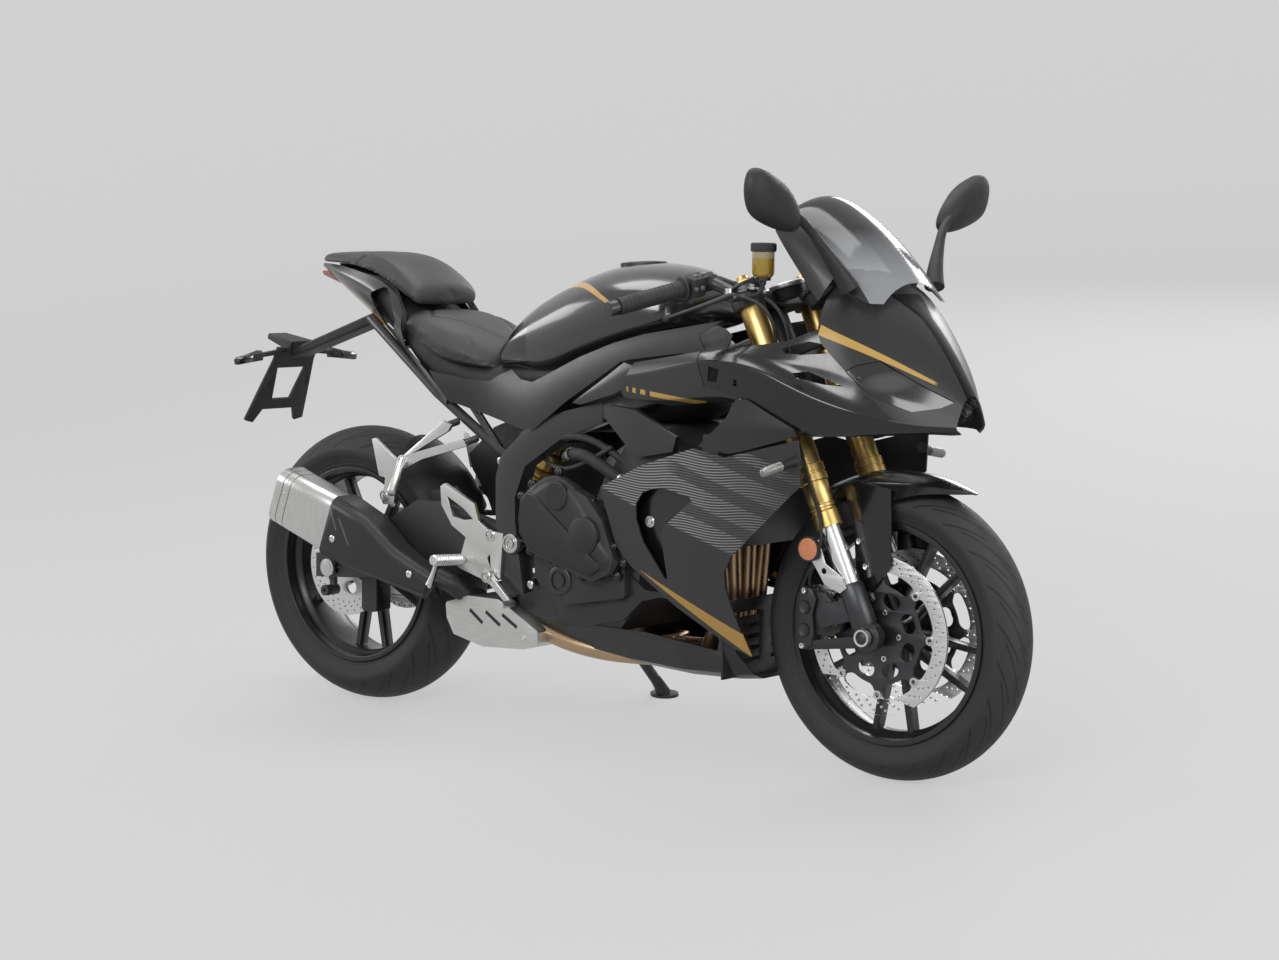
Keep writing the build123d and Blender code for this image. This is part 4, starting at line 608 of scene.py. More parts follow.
cover_form = (
    (280, [(126, 690), (133, 740), (131, 770), (124, 800)]),
    (370, [(120, 670), (131, 725), (129, 765), (118, 800)]),
    (455, [(116, 645), (128, 700), (124, 765), (110, 800)]),
    (600, [(163, 620), (165, 690), (152, 768), (130, 800)]),
    (740, [(168, 690), (172, 760), (162, 828), (142, 860)]),
    (900, [(181, 770), (186, 830), (178, 876), (158, 906)]),
    (1134, [(200, 800), (205, 860), (195, 916), (171, 940)]),
)
seam = [(460, 759), (490, 775), (523, 787), (560, 768), (600, 764), (735, 823), (830, 856), (922, 879),
        (1134, 914)]
cover_outline = [(284, 774), (389, 761), *seam, (1074, 884), (1084, 868), (1095, 853), (891, 826),
                 (864, 820), (712, 731), (604, 658), (571, 663), (430, 690), (337, 711)]
settle(panel(cover_form, 3, cover_outline), "side_cover", "frame", satin_black,
       ["side_covers"])

tail_form = (
    (-141, [(14, 984), (22, 988), (29, 994), (26, 1000)]),
    (-60, [(34, 942), (60, 962), (70, 984), (60, 999)]),
    (40, [(56, 894), (88, 928), (104, 962), (94, 984)]),
    (140, [(80, 838), (108, 880), (126, 930), (112, 966)]),
    (230, [(96, 766), (122, 800), (142, 850), (126, 893)]),
    (335, [(116, 688), (124, 720), (146, 760), (138, 780)]),
)
tail_outline = [(-141, 1001), (-18, 999), (130, 967), (154, 963), (178, 935), (200, 901), (203, 875),
                (190, 822), (269, 773), (330, 715), (322, 700), (94, 832), (-5, 910), (-141, 984)]
duct = [(84, 932), (92, 940), (130, 953), (140, 952), (152, 940), (180, 890), (178, 880), (152, 858),
        (140, 858), (108, 872), (92, 900)]
tail_paint = worn("tail_paint", (0.018, 0.018, 0.019), 0.33, 0.1, fine=1800, depth=0.00002,
                  Coat_Weight=0.5, Coat_Roughness=0.2)
x, y, z = bike_axes()
edge = z - (0.966 - (x + 0.10) * 0.50)
flash = edge.band(-0.010, 0.012) * x.step(-0.075, -0.07) * (1 - (x + edge * 2.0).step(0.115, 0.118))
tail_paint.set(Base_Color=mixed(flash, (0.018, 0.018, 0.019, 1), (0.45, 0.28, 0.08, 1)))
tail = panel(tail_form, 3, tail_outline, {2: 0.4})
trimmed(tail, prism(duct), "DIFFERENCE")
settle(tail, "tail", "frame", tail_paint, ["tail_fairing"])
duct_back = [(10, 984), (140, 968), (196, 896), (198, 836), (150, 834), (60, 862), (10, 905)]
settle(panel(sunk(tail_form, 20), 3, duct_back, levels=2), "duct_wall", "frame", moulded_black)

screen_form = (
    (1226, [(150, 1060), (149, 1100), (126, 1126), (88, 1142), (44, 1154), (0, 1158)]),
    (1256, [(158, 1030), (156, 1088), (132, 1122), (94, 1150), (48, 1168), (0, 1176)]),
    (1330, [(166, 965), (163, 1030), (140, 1074), (100, 1104), (52, 1122), (0, 1128)]),
    (1400, [(164, 930), (159, 975), (134, 1016), (95, 1045), (49, 1063), (0, 1069)]),
    (1462, [(134, 905), (132, 932), (110, 958), (78, 979), (39, 993), (0, 997)]),
)
screen_outline = [(1226, 1094), (1227, 1110), (1231, 1130), (1242, 1152), (1256, 1182), (1400, 1104),
                  (1476, 1010), (1480, 962), (1470, 955), (1440, 956), (1405, 976), (1372, 1004),
                  (1362, 985), (1345, 958), (1320, 985), (1300, 1010)]
tinted_screen = Finish("tinted_screen", (0.05, 0.05, 0.052), 0.12, 0.0, Coat_Weight=0.1,
                       Specular_IOR_Level=0.35)
x, y, z = bike_axes()
clearing = (1.10 - z).step(0.0, 0.10)
flank = y.by("ABSOLUTE").step(0.1305, 0.1315)
tint = mixed(clearing, (0.015, 0.015, 0.017, 1), (0.34, 0.35, 0.36, 1))
tinted_screen.set(Alpha=(0.94 - clearing * 0.42).by("MAXIMUM", flank), Roughness=0.12 + flank * 0.26,
                  Base_Color=mixed(flank, tint, (0.018, 0.018, 0.019, 1)))
settle(panel(screen_form, 3, screen_outline, whole=True), "screen", "frame", tinted_screen,
       ["windscreen"])


# ---------------------------------------------------------------- tyres
# Radial tyres with sweeping rain grooves that meet in a row of arrows, worn only a little, and
# with moulded rings and a ribbed band on the side walls. The grooves follow the turn of the wheel.
def wheel_values(axle):
    """Angle about the axle, distance from it and distance from the centre plane."""
    place = Paint.node("SeparateXYZ", i0=spot())
    x = place - axle.x
    y = Paint(place.socket.node.outputs["Y"])
    z = Paint(place.socket.node.outputs["Z"]) - axle.z
    return z.by("ARCTAN2", x), (x * x + z * z).by("SQRT"), y


def tread(name, axle, half_width, radius, shoulder, count):
    """Tyre rubber with its groove pattern cut into the tread, painted shade in the grooves, and rings on the
    wall.
    """
    made = Finish(name, (0.021, 0.021, 0.022), 0.7)
    turn, away, y = wheel_values(axle)
    share = y.by("ABSOLUTE") / half_width
    side = y.by("SIGN") * 0.25
    step = turn * (count / math.tau) + side

    def groove(shift, lean_by, low, high, width):
        line = (step + shift - share.by("POWER", 1.5) * lean_by).by("FRACT") - 0.5
        narrow = 1 - line.by("ABSOLUTE").step(width * 0.6, width)
        return narrow * share.band(low, high, 0.02)

    grooves_and_shade = groove(0, 1.9, 0.10, 0.80, 0.06).by("MAXIMUM", groove(0.5, 1.5, 0.42, 0.94, 0.05))
    grooves_and_shade = grooves_and_shade.by("MAXIMUM", groove(0.25, 2.4, 0.03, 0.36, 0.045))
    tread_only = away.step(radius - shoulder - 0.004, radius - shoulder + 0.002)
    grooves_and_shade = grooves_and_shade * tread_only
    rings = away.band(0.2285, 0.2305) + away.band(0.2365, 0.2385) + away.band(0.2520, 0.2528)
    ribs = (turn * 160).by("SINE") * away.band(0.2325, 0.2355)
    worn_strip = (1 - share.step(0.55, 0.85)) * tread_only
    # The grooves are painted near-black: painted shade inside them.
    colour = mixed(grooves_and_shade, (0.021, 0.021, 0.022, 1), (0.004, 0.004, 0.004, 1))
    made.set(Base_Color=mixed(worn_strip * grain(60).step(0.3, 0.8) * 0.5, colour, (0.04, 0.04, 0.041, 1)),
             Roughness=0.78 - worn_strip * 0.1 - rings * 0.15,
             Normal=bumped(rings * 0.5 + ribs * 0.25 - grooves_and_shade * 2.0 + grain(900) * 0.08, 0.0012))
    return made


softened("front_tyre", tread("front_tread", front_axle, 0.060, 0.300, 0.042, 22), edge=0)
softened("rear_tyre", tread("rear_tread", rear_axle, 0.090, 0.315, 0.053, 20), edge=0)


# ---------------------------------------------------------------- brake discs
# Floating rings of drilled stainless steel on round buttons, carried by dark spiders. The rear
# disc is one plate with round windows. The steel is ground in circles and wiped by the pads.
def circle(x, z, radius, points):
    """Points evenly spaced round a centre, in the side view."""
    return [(x + radius * math.cos(math.tau * n / points), z + radius * math.sin(math.tau * n / points))
            for n in range(points)]


def polar(x, z, radius_at, points=144):
    """Outline around a centre whose radius depends on the angle."""
    angles = [math.tau * n / points for n in range(points)]
    return [(x + radius_at(a) * math.cos(a), z + radius_at(a) * math.sin(a)) for a in angles]


def drilled(x, z, inner_row, row_pitch, count, radius):
    """Rows of small holes, each row shifted by a part of the step from hole to hole."""
    return [circle(x + away * math.cos(turn), z + away * math.sin(turn), radius, 10)
            for row in range(hole_rows) for n in range(count)
            for away, turn in [(inner_row + row_pitch * row, math.tau * (n + row / hole_rows) / count)]]


def meshed(name, curve):
    """Makes a mesh piece of a curve."""
    piece = bpy.data.objects.new(name, curve)
    bpy.context.scene.collection.objects.link(piece)
    alone(piece)
    bpy.ops.object.convert(target="MESH")
    return bpy.context.object


def flat(loops, near, far, edge=0.0):
    """A plate with holes: a side-view outline and its openings, carried from near to far."""
    profile = bpy.data.curves.new("plate", "CURVE")
    profile.dimensions = "2D"
    profile.fill_mode = "BOTH"
    profile.extrude = (far - near) / 2
    for loop in loops:
        spline = profile.splines.new("POLY")
        spline.points.add(len(loop) - 1)
        for point, (x, z) in zip(spline.points, loop):
            point.co = (x, z, 0, 1)
        spline.use_cyclic_u = True
    piece = meshed("plate", profile)
    for vertex in piece.data.vertices:
        x, z, y = vertex.co
        vertex.co = Vector((x, (near + far) / 2 - y, z)) * thousandth
    outward(piece)
    if edge:
        apply(piece, "BEVEL", width=edge * thousandth, segments=2, limit_method="ANGLE",
              angle_limit=math.radians(50))
    return piece


def on_side(loops, side, inner, outer, edge):
    """A plate on one side of the bike, between two distances from the centre plane."""
    return flat(loops, *sorted((inner * side, outer * side)), edge)


def joined(pieces):
    """Makes one piece of several."""
    bpy.ops.object.select_all(action="DESELECT")
    for piece in pieces:
        piece.select_set(True)
    bpy.context.view_layer.objects.active = pieces[0]
    bpy.ops.object.join()
    return bpy.context.object


def repeated(piece, places):
    """Copies of a piece drawn at the origin, at each (x, y, z, turn in the side view), as one piece."""
    copies = []
    for x, y, z, turn in places:
        copy = copied(piece)
        place = Matrix.Translation(Vector((x, y, z)) * thousandth)
        copy.data.transform(place @ Matrix.Rotation(-turn, 4, "Y"))
        copies.append(copy)
    bpy.data.objects.remove(piece)
    return joined(copies)


def ground_steel(name, axle):
    """Steel ground in circles about an axle, with the pads' wiped bands."""
    made = Finish(name, (0.6, 0.6, 0.59), 0.3, 1.0)
    away = wheel_values(axle)[1]
    line = Paint.node("TexNoise", {"noise_dimensions": "1D"}, W=away * 1400, Scale=1.0, Detail=3)
    patch = grain(20).step(0.3, 0.7)
    made.set(Base_Color=mixed(line, (0.50, 0.50, 0.50, 1), (0.74, 0.74, 0.73, 1)),
             Roughness=0.26 + line * 0.16 + patch * 0.06, Normal=bumped(line, 0.000006))
    return made


def near_button(angle, count, width):
    """1 at each of the evenly spaced buttons, falling off to 0 between them."""
    pitch = math.tau / count
    off = (angle + pitch / 2) % pitch - pitch / 2
    return math.exp(-(off / width) ** 2)


front_x, front_z = front_axle.x * 1000, front_axle.z * 1000
rear_x, rear_z = rear_axle.x * 1000, rear_axle.z * 1000
buttons = 8
button_circle = 120
hole_rows = 3
disc_plane = 69
front_bore, rear_bore = 18, 18.5
ring_holes = drilled(front_x, front_z, 136, 7.5, 32, 2.3)
ring_outline = circle(front_x, front_z, 160, 144)
ring_inside = polar(front_x, front_z, lambda a: 128 - 15 * near_button(a, buttons, 0.075))
button_places = circle(front_x, front_z, button_circle, buttons)
spider_outline = polar(front_x, front_z, lambda a: 100 + 20 * near_button(a, buttons, 0.10))
windows = [polar(front_x + 74 * math.cos(angle), front_z + 74 * math.sin(angle),
                 lambda a, angle=angle: 13 + 7 * abs(math.sin(a - angle)), 20)
           for angle in [math.tau * (n + 0.5) / buttons for n in range(buttons)]]
front_steel = ground_steel("front_disc_steel", front_axle)
rear_steel = ground_steel("rear_disc_steel", rear_axle)
button_holes = [circle(x, z, 6, 16) for x, z in button_places]
rings, spiders = [], []
for side in (-1, 1):
    middle = disc_plane * side
    rings.append(flat([ring_outline, ring_inside, *ring_holes, *button_holes], middle - 2.5, middle + 2.5,
                      0.4))
    hole = circle(front_x, front_z, front_bore, 40)
    spiders.append(flat([spider_outline, hole, *windows], middle - 2, middle + 2, 0.8))
    spiders.append(on_side([circle(front_x, front_z, 30, 48), hole], side, disc_plane - 10, disc_plane, 1))
settle(joined(rings), "front_disc_rings", "front_wheel", front_steel, ["front_brake_discs"])
settle(joined(spiders), "front_disc_spiders", "front_wheel", dark_alloy)
disc_button = flat([circle(0, 0, 9, 24), circle(0, 0, 4.5, 16)], -4, 4, 0.8)
both_planes = (-disc_plane, disc_plane)
button_rings = repeated(disc_button, [(x, y, z, 0) for x, z in button_places for y in both_planes])
carrier_bolt = flat([circle(0, 0, 6, 18), circle(0, 0, 2.8, 6)], -4, 4, 0.6)
bolt_places = circle(front_x, front_z, 48, 5)
carrier_bolts = repeated(carrier_bolt, [(x, y, z, 0) for x, z in bolt_places for y in (-70, 70)])
settle(joined([button_rings, carrier_bolts]), "front_disc_buttons", "front_wheel", steel)

rear_holes = drilled(rear_x, rear_z, 85, 10, 30, 2.1)
rear_windows = [circle(x, z, 15, 28) for x, z in circle(rear_x, rear_z, 52, 5)]
rear_hole = circle(rear_x, rear_z, rear_bore, 40)
rear_disc = flat([circle(rear_x, rear_z, 114, 120), rear_hole, *rear_windows, *rear_holes], -94.5, -89.5,
                 0.4)
rear_boss = flat([circle(rear_x, rear_z, 30, 48), rear_hole], -92, -83, 1)
settle(joined([rear_disc, rear_boss]), "rear_disc", "rear_wheel", rear_steel,
       ["rear_brake_disc"])

# ---------------------------------------------------------------- chain and rear sprocket
# A roller chain of two rows of plates on pins, laid around both sprockets, and a toothed sprocket.
chain_y = 105
chain_pitch = 15.875
sprocket_bore = 18.6
front_sprocket = Vector((650, 420))
rear_sprocket_at = Vector((rear_x, rear_z))
front_reach, rear_reach = 40, 112
run = front_sprocket - rear_sprocket_at
run_angle = math.atan2(run.y, run.x)
swing = math.asin((rear_reach - front_reach) / run.length)
straight = run.length * math.cos(swing)
front_wrap = math.pi - 2 * swing
rear_wrap = math.pi + 2 * swing
lengths = (straight, front_reach * front_wrap, straight, rear_reach * rear_wrap)


def away_from(place, angle, distance):
    """A point of the side view at that angle and distance from another."""
    return place + distance * Vector((math.cos(angle), math.sin(angle)))


def on_chain(distance):
    """Point and heading at a distance along the chain's loop, from the top rear tangent."""
    up = run_angle + math.pi / 2 - swing
    down = run_angle - math.pi / 2 + swing
    if distance < lengths[0]:
        heading = up - math.pi / 2
        return away_from(away_from(rear_sprocket_at, up, rear_reach), heading, distance), heading
    distance -= lengths[0]
    if distance < lengths[1]:
        angle = up - distance / front_reach
        return away_from(front_sprocket, angle, front_reach), angle - math.pi / 2
    distance -= lengths[1]
    if distance < lengths[2]:
        heading = down - math.pi / 2
        return away_from(away_from(front_sprocket, down, front_reach), heading, distance), heading
    angle = down - (distance - lengths[2]) / rear_reach
    return away_from(rear_sprocket_at, angle, rear_reach), angle - math.pi / 2


link_count = 2 * round(sum(lengths) / chain_pitch / 2)
pitch = sum(lengths) / link_count
link_radius = 6
outer_row, inner_row = 7, 5.2
ends = [math.radians(turn) for turn in range(-90, 91, 30)]
link_outline = [(pitch / 2 + link_radius * math.cos(turn), link_radius * math.sin(turn)) for turn in ends]
link_outline += [(-x, -z) for x, z in link_outline]
outer_links, inner_links, pins = [], [], []
for n in range(link_count):
    at, heading = on_chain(sum(lengths) * (n + 0.5) / link_count)
    for side in (-1, 1):
        if n % 2:
            outer_links.append((at.x, chain_y + side * outer_row, at.y, heading))
        else:
            inner_links.append((at.x, chain_y + side * inner_row, at.y, heading))
    pin, _ = on_chain(sum(lengths) * n / link_count)
    pins.append((pin.x, chain_y, pin.y, 0))
link = flat([link_outline], -0.8, 0.8)
links = repeated(link, outer_links + inner_links)
settle(links, "chain_links", "frame", steel, ["drive_chain"])
pin_row = repeated(flat([circle(0, 0, 2.6, 8)], -8, 8), pins)
roller_row = repeated(flat([circle(0, 0, 5, 10)], -4.4, 4.4), pins)
settle(joined([pin_row, roller_row]), "chain_rollers", "frame", dark_alloy)

teeth = round(2 * math.pi * rear_reach / pitch)
toothed = polar(rear_x, rear_z, lambda a: 107.5 + 6.5 * max(0, math.cos(a * teeth)) ** 0.7, teeth * 8)
sprocket_hole = circle(rear_x, rear_z, sprocket_bore, 40)
sprocket_windows = [circle(x, z, 19, 28) for x, z in circle(rear_x, rear_z, 68, 5)]
sprocket = flat([toothed, sprocket_hole, *sprocket_windows], 97.5, 103, 0.3)
collar = flat([circle(rear_x, rear_z, 42, 48), sprocket_hole], 83, 98, 1)
settle(joined([sprocket, collar]), "toothed_sprocket", "rear_wheel", bright_alloy,
       ["rear_sprocket"])


# ---------------------------------------------------------------- fork
# Upside-down fork: gold anodised outer tubes with turned collars and dark wiper grooves, polished
# stanchions, and dark castings that hold the axle and the calipers.
rake = math.radians(25)
leg_up = Vector((-math.sin(rake), 0, math.cos(rake)))
leg_ahead = Vector((math.cos(rake), 0, math.sin(rake)))
front_axle_mm = front_axle / thousandth


def on_leg(ahead, y, station):
    """Point of the steered assembly, in millimetres from the axle."""
    return front_axle_mm + leg_ahead * ahead + Vector((0, y, 0)) + leg_up * station


def turned(profile, foot, axis, points=40):
    """A lathe piece: (distance, radius) pairs from the foot along an axis."""
    axis = Vector(axis).normalized()
    side = axis.orthogonal().normalized()
    other = axis.cross(side)
    rows = [[Vector(foot) + axis * distance + (side * math.cos(math.tau * n / points)
                                               + other * math.sin(math.tau * n / points)) * radius
             for n in range(points + 1)] for distance, radius in profile]
    return outward(grid_of(rows))


def round_line(name, places, radii, **settings):
    """A round bar along control points, with a radius at each."""
    line = bpy.data.curves.new(name, "CURVE")
    line.dimensions = "3D"
    line.bevel_resolution = 4
    for key, value in settings.items():
        setattr(line, key, value)
    spline = line.splines.new("NURBS")
    spline.points.add(len(places) - 1)
    for point, place, radius in zip(spline.points, places, radii):
        point.co = (*place, 1)
        point.radius = radius
    spline.order_u = 3
    spline.use_endpoint_u = True
    return meshed(name, line)


def hose(name, points, radius, body, finish):
    """A round line of one thickness, open at both ends."""
    piece = round_line(name, points, [1] * len(points), bevel_depth=radius, resolution_u=10)
    piece.data.transform(Matrix.Scale(thousandth, 4))
    return settle(outward(piece), name, body, finish)


outer_profile = [
    (231, 21.6), (231, 28), (262, 28), (265, 26), (269, 26), (271, 27.6), (276, 27.6), (278, 26), (282, 26),
    (284, 27), (324, 27), (326, 30), (340, 30), (341, 28), (345, 28), (346, 30), (360, 30), (362, 27),
    (756, 27), (759, 25), (759, 19), (764, 18), (764, 12), (772, 11), (772, 0),
]
outer_tubes, stanchions, castings = [], [], []
leg_offset = 105
for side in (-1, 1):
    foot = on_leg(0, leg_offset * side, 0)
    outer_tubes.append(turned(outer_profile, foot, leg_up))
    stanchions.append(turned([(100, 21.5), (250, 21.5), (250, 0)], foot, leg_up))
    castings.append(turned([(14, 0), (14, 20), (26, 26), (101, 26), (105, 25), (110, 23.4), (110, 0)],
                           foot, leg_up))
    castings.append(turned([(-14, 0), (-14, 27), (-11, 30), (11, 30), (14, 27), (14, 0)], foot,
                           (0, side, 0)))
    lug = [(on_leg(u, 0, s).x, on_leg(u, 0, s).z) for u, s in
           [(-8, 40), (-96, 52), (-100, 66), (-92, 92), (-70, 98), (-40, 88), (-8, 100)]]
    castings.append(on_side([lug], side, leg_offset - 9, leg_offset + 9, 2))
settle(joined(outer_tubes), "fork_outer_tube", "steering", gold_alloy,
       ["fork_outer_tubes"], 30)
settle(joined(stanchions), "fork_stanchions", "steering", chrome)
settle(joined(castings), "fork_castings", "steering", dark_alloy, ["fork_lower_legs"])

axle_caps = [turned([(0, 12.6), (2.5, 13), (3, 17), (-8, 17.4)], on_leg(0, 131 * side, 0), (0, side, 0), 32)
             for side in (-1, 1)]
settle(joined(axle_caps), "axle_rings", "steering", bright_alloy)
plain_axle = Finish("axle_end", (0.06, 0.06, 0.06), 0.5, 0.8)
softened("front_axle", plain_axle, edge=0)

# ---------------------------------------------------------------- calipers
# Four-piston radial calipers: two halves bolted together around the disc, with round piston caps
# and bright bolts. They are cast and painted a matte dark grey.
caliper_body = [(1268, 262), (1260, 284), (1257, 330), (1262, 368), (1276, 386), (1300, 382), (1310, 362),
                (1302, 330), (1306, 296), (1300, 266), (1284, 256)]
caliper_lobe = [(1298, 290), (1326, 286), (1362, 300), (1370, 318), (1358, 344), (1326, 376), (1298, 378)]
caliper_arm = [(1276, 262), (1290, 276), (1400, 296), (1436, 292), (1436, 276), (1290, 258)]
bridge = [(1250, 330), (1258, 376), (1290, 388), (1300, 376), (1276, 362), (1264, 330)]
# outline, distances of its two faces from the centre plane, edge
caliper_plates = ((caliper_body, 77, 103, 5), (caliper_lobe, 77, 94, 4), (caliper_body, 40, 61, 4),
                  (caliper_lobe, 44, 61, 3), (bridge, 58, 80, 2), (caliper_arm, 93, 99, 1.5))
castings, caps, bolts = [], [], []
for side in (-1, 1):
    for loop, low, high, edge in caliper_plates:
        castings.append(on_side([loop], side, low, high, edge))
    for x, z in ((1283, 298), (1284, 344)):
        caps.append(turned([(0, 0), (1.5, 9), (2.5, 12), (0, 13.5), (-6, 13.5)], (x, 104 * side, z),
                           (0, side, 0), 28))
    for x, z in ((1280, 266), (1284, 378), (1352, 316)):
        depth = 103 if x < 1300 else 94
        bolts.append(turned([(0.5, 0), (0.5, 3.2), (5, 3.4), (5.6, 5.6), (4, 6.5), (-8, 6.5)],
                            (x, depth * side, z), (0, side, 0), 18))
settle(joined(castings), "caliper_halves", "steering", cast_grey, ["front_calipers"], 30)
settle(joined(caps), "piston_caps", "steering", dark_alloy)
settle(joined(bolts), "caliper_bolts", "steering", steel)

# Side reflectors: round ribbed lenses in a black rim, on a bright bracket beside each leg.
reflector_orange = Finish("reflector_orange", (0.62, 0.20, 0.06), 0.22, 0.0, Coat_Weight=1.0)
facets = Paint.node("TexVoronoi", Vector=spot(), Scale=420.0)
reflector_orange.set(Base_Color=mixed(facets, (0.75, 0.27, 0.10, 1), (0.42, 0.12, 0.04, 1)),
                     Normal=bumped(facets, 0.0004))
bracket = [(1300, 478), (1334, 486), (1352, 440), (1392, 416), (1404, 396), (1388, 384), (1350, 400),
           (1322, 440), (1302, 456)]
reflector_discs, rims_black, brackets = [], [], []
for side in (-1, 1):
    centre = (1317, 142 * side, 467)
    reflector_discs.append(turned([(0, 22.5), (3, 22), (4.4, 15), (4.8, 0)], centre, (0, side, 0), 36))
    rims_black.append(turned([(-6, 0), (-6, 25), (3, 25), (3.6, 24), (3.2, 22.3), (-2, 22.3)], centre,
                             (0, side, 0), 36))
    opening = circle(1349, 425, 6, 18)
    brackets.append(on_side([bracket, opening], side, 131, 134, 0.6))
settle(joined(reflector_discs), "reflectors", "steering", reflector_orange)
settle(joined(rims_black), "reflector_rims", "steering", moulded_black)
settle(joined(brackets), "reflector_brackets", "steering", bright_alloy)

# ---------------------------------------------------------------- front fender
# One gloss moulding over the tyre with a long beak, and flat arms bolted to the castings.
# rows: angle about the axle in degrees, crown radius, half width, how far the edge drops
fender_rows = ((116, 324.5, 70, 34), (108, 325.5, 74.5, 40), (98, 326, 75.5, 60), (88, 326, 75.5, 66),
               (80, 327, 73, 46), (73, 329.5, 64, 30), (66, 333, 46, 18), (61, 336, 24, 7),
               (58.6, 338, 5, 1))
fold_at = 0.82
fender_points = []
for degrees, crown, half, fall in fender_rows:
    turn = math.radians(degrees)
    row = []
    for share in (-1, -0.96, -fold_at, -0.6, -0.3, 0, 0.3, 0.6, fold_at, 0.96, 1):
        lowered = fall * (0.62 * abs(share) ** 2.2 + 0.38 * max(0, (abs(share) - fold_at) / 0.18))
        reach = crown - lowered
        row.append((front_x + reach * math.cos(turn), half * share, front_z + reach * math.sin(turn)))
    fender_points.append(row)
fender = grid_of(fender_points, {2: 0.6, 8: 0.6})
if fender.data.polygons[40].normal.z < 0:
    fender.data.flip_normals()
apply(fender, "SUBSURF", levels=2, render_levels=2, boundary_smooth="PRESERVE_CORNERS")
apply(fender, "SOLIDIFY", thickness=0.003, offset=-1)
arm_outline = [(1352, 590), (1384, 604), (1466, 592), (1470, 500), (1469, 440), (1446, 410), (1424, 384),
               (1398, 384), (1388, 420), (1380, 520)]
arms = [on_side([arm_outline], side, 75.5, 78.5, 0.8) for side in (-1, 1)]
settle(joined([fender, *arms]), "fender", "steering", gloss_black, ["front_fender"], 40)
fender_bolts = [turned([(0, 0), (0, 3), (3, 3.4), (4, 6), (0, 7.5), (-1, 7.5)], (x, 79 * side, z),
                       (0, side, 0), 18) for side in (-1, 1) for x, z in ((1396, 484), (1413, 435))]
settle(joined(fender_bolts), "fender_bolts", "steering", steel)

# Brake lines: from ahead of each bar, looped in front of the fork and down to the calipers.
for side, name in ((-1, "right_brake_line"), (1, "left_brake_line")):
    hose(name, [(1206, 150 * side, 960), (1262, 160 * side, 940), (1270, 140 * side, 820),
                (1266, 118 * side, 700), (1312, 140 * side, 600), (1350, 141 * side, 520),
                (1330, 128 * side, 440), (1296, 108 * side, 412), (1290, 96 * side, 388)], 3.4,
         "steering", rubber)


# ---------------------------------------------------------------- seats
# Foam pads under grained vinyl. The rider's seat has a sewn teardrop panel, and the pillion pad a
# deep seam between its flat rear and its upright front. Each is puffed out by a cloth simulation.
rider_form = (
    (158, [(78, 868), (98, 874), (104, 884), (90, 895), (50, 898), (0, 898)]),
    (190, [(98, 846), (118, 860), (120, 880), (102, 897), (55, 901), (0, 900)]),
    (235, [(104, 822), (128, 848), (131, 870), (112, 894), (60, 900), (0, 898)]),
    (300, [(112, 790), (140, 818), (143, 844), (126, 878), (70, 892), (0, 890)]),
    (350, [(110, 782), (140, 808), (139, 832), (118, 860), (66, 874), (0, 873)]),
    (400, [(98, 778), (124, 796), (122, 816), (100, 837), (56, 848), (0, 849)]),
    (438, [(78, 776), (97, 788), (95, 802), (78, 819), (44, 830), (0, 833)]),
    (450, [(64, 778), (80, 786), (78, 796), (62, 808), (34, 816), (0, 819)]),
)
pillion_form = (
    (-136, [(38, 1001), (48, 1004), (49, 1010), (39, 1016), (22, 1019), (0, 1020)]),
    (-100, [(58, 1001), (70, 1004), (71, 1011), (58, 1018), (30, 1021), (0, 1022)]),
    (-20, [(80, 1000), (93, 1005), (94, 1011), (82, 1019), (44, 1025), (0, 1026)]),
    (60, [(86, 985), (101, 994), (102, 1003), (90, 1018), (48, 1026), (0, 1027)]),
    (110, [(90, 966), (104, 976), (106, 989), (94, 1011), (50, 1022), (0, 1024)]),
    (160, [(93, 940), (107, 950), (109, 965), (98, 989), (54, 1005), (0, 1009)]),
    (205, [(95, 916), (109, 925), (110, 937), (99, 959), (54, 975), (0, 979)]),
    (230, [(92, 905), (104, 911), (105, 921), (94, 939), (50, 951), (0, 954)]),
)


def teardrop(x, y):
    """Distance from the rider seat's sewn line, in the plan view: round behind, straight ahead."""
    if not 196 <= x <= 446:
        return 99
    rear_end, widest, half_width, taper = 200, 262, 92, 0.42
    length = widest - rear_end
    rear = half_width * math.sqrt(max(0, x - rear_end) / length) if x > rear_end else 0
    half = min(rear, half_width - (x - widest) * taper) if x > widest else rear
    slope = taper if x > widest else half_width / (2 * math.sqrt(length * max(6, x - rear_end)))
    return abs(abs(y) - half) / math.hypot(1, slope)


def cross_seam(x, y):
    """Distance from the pillion pad's seam, which bows back towards its sides."""
    return abs(x - (52 - 0.0042 * y * y))


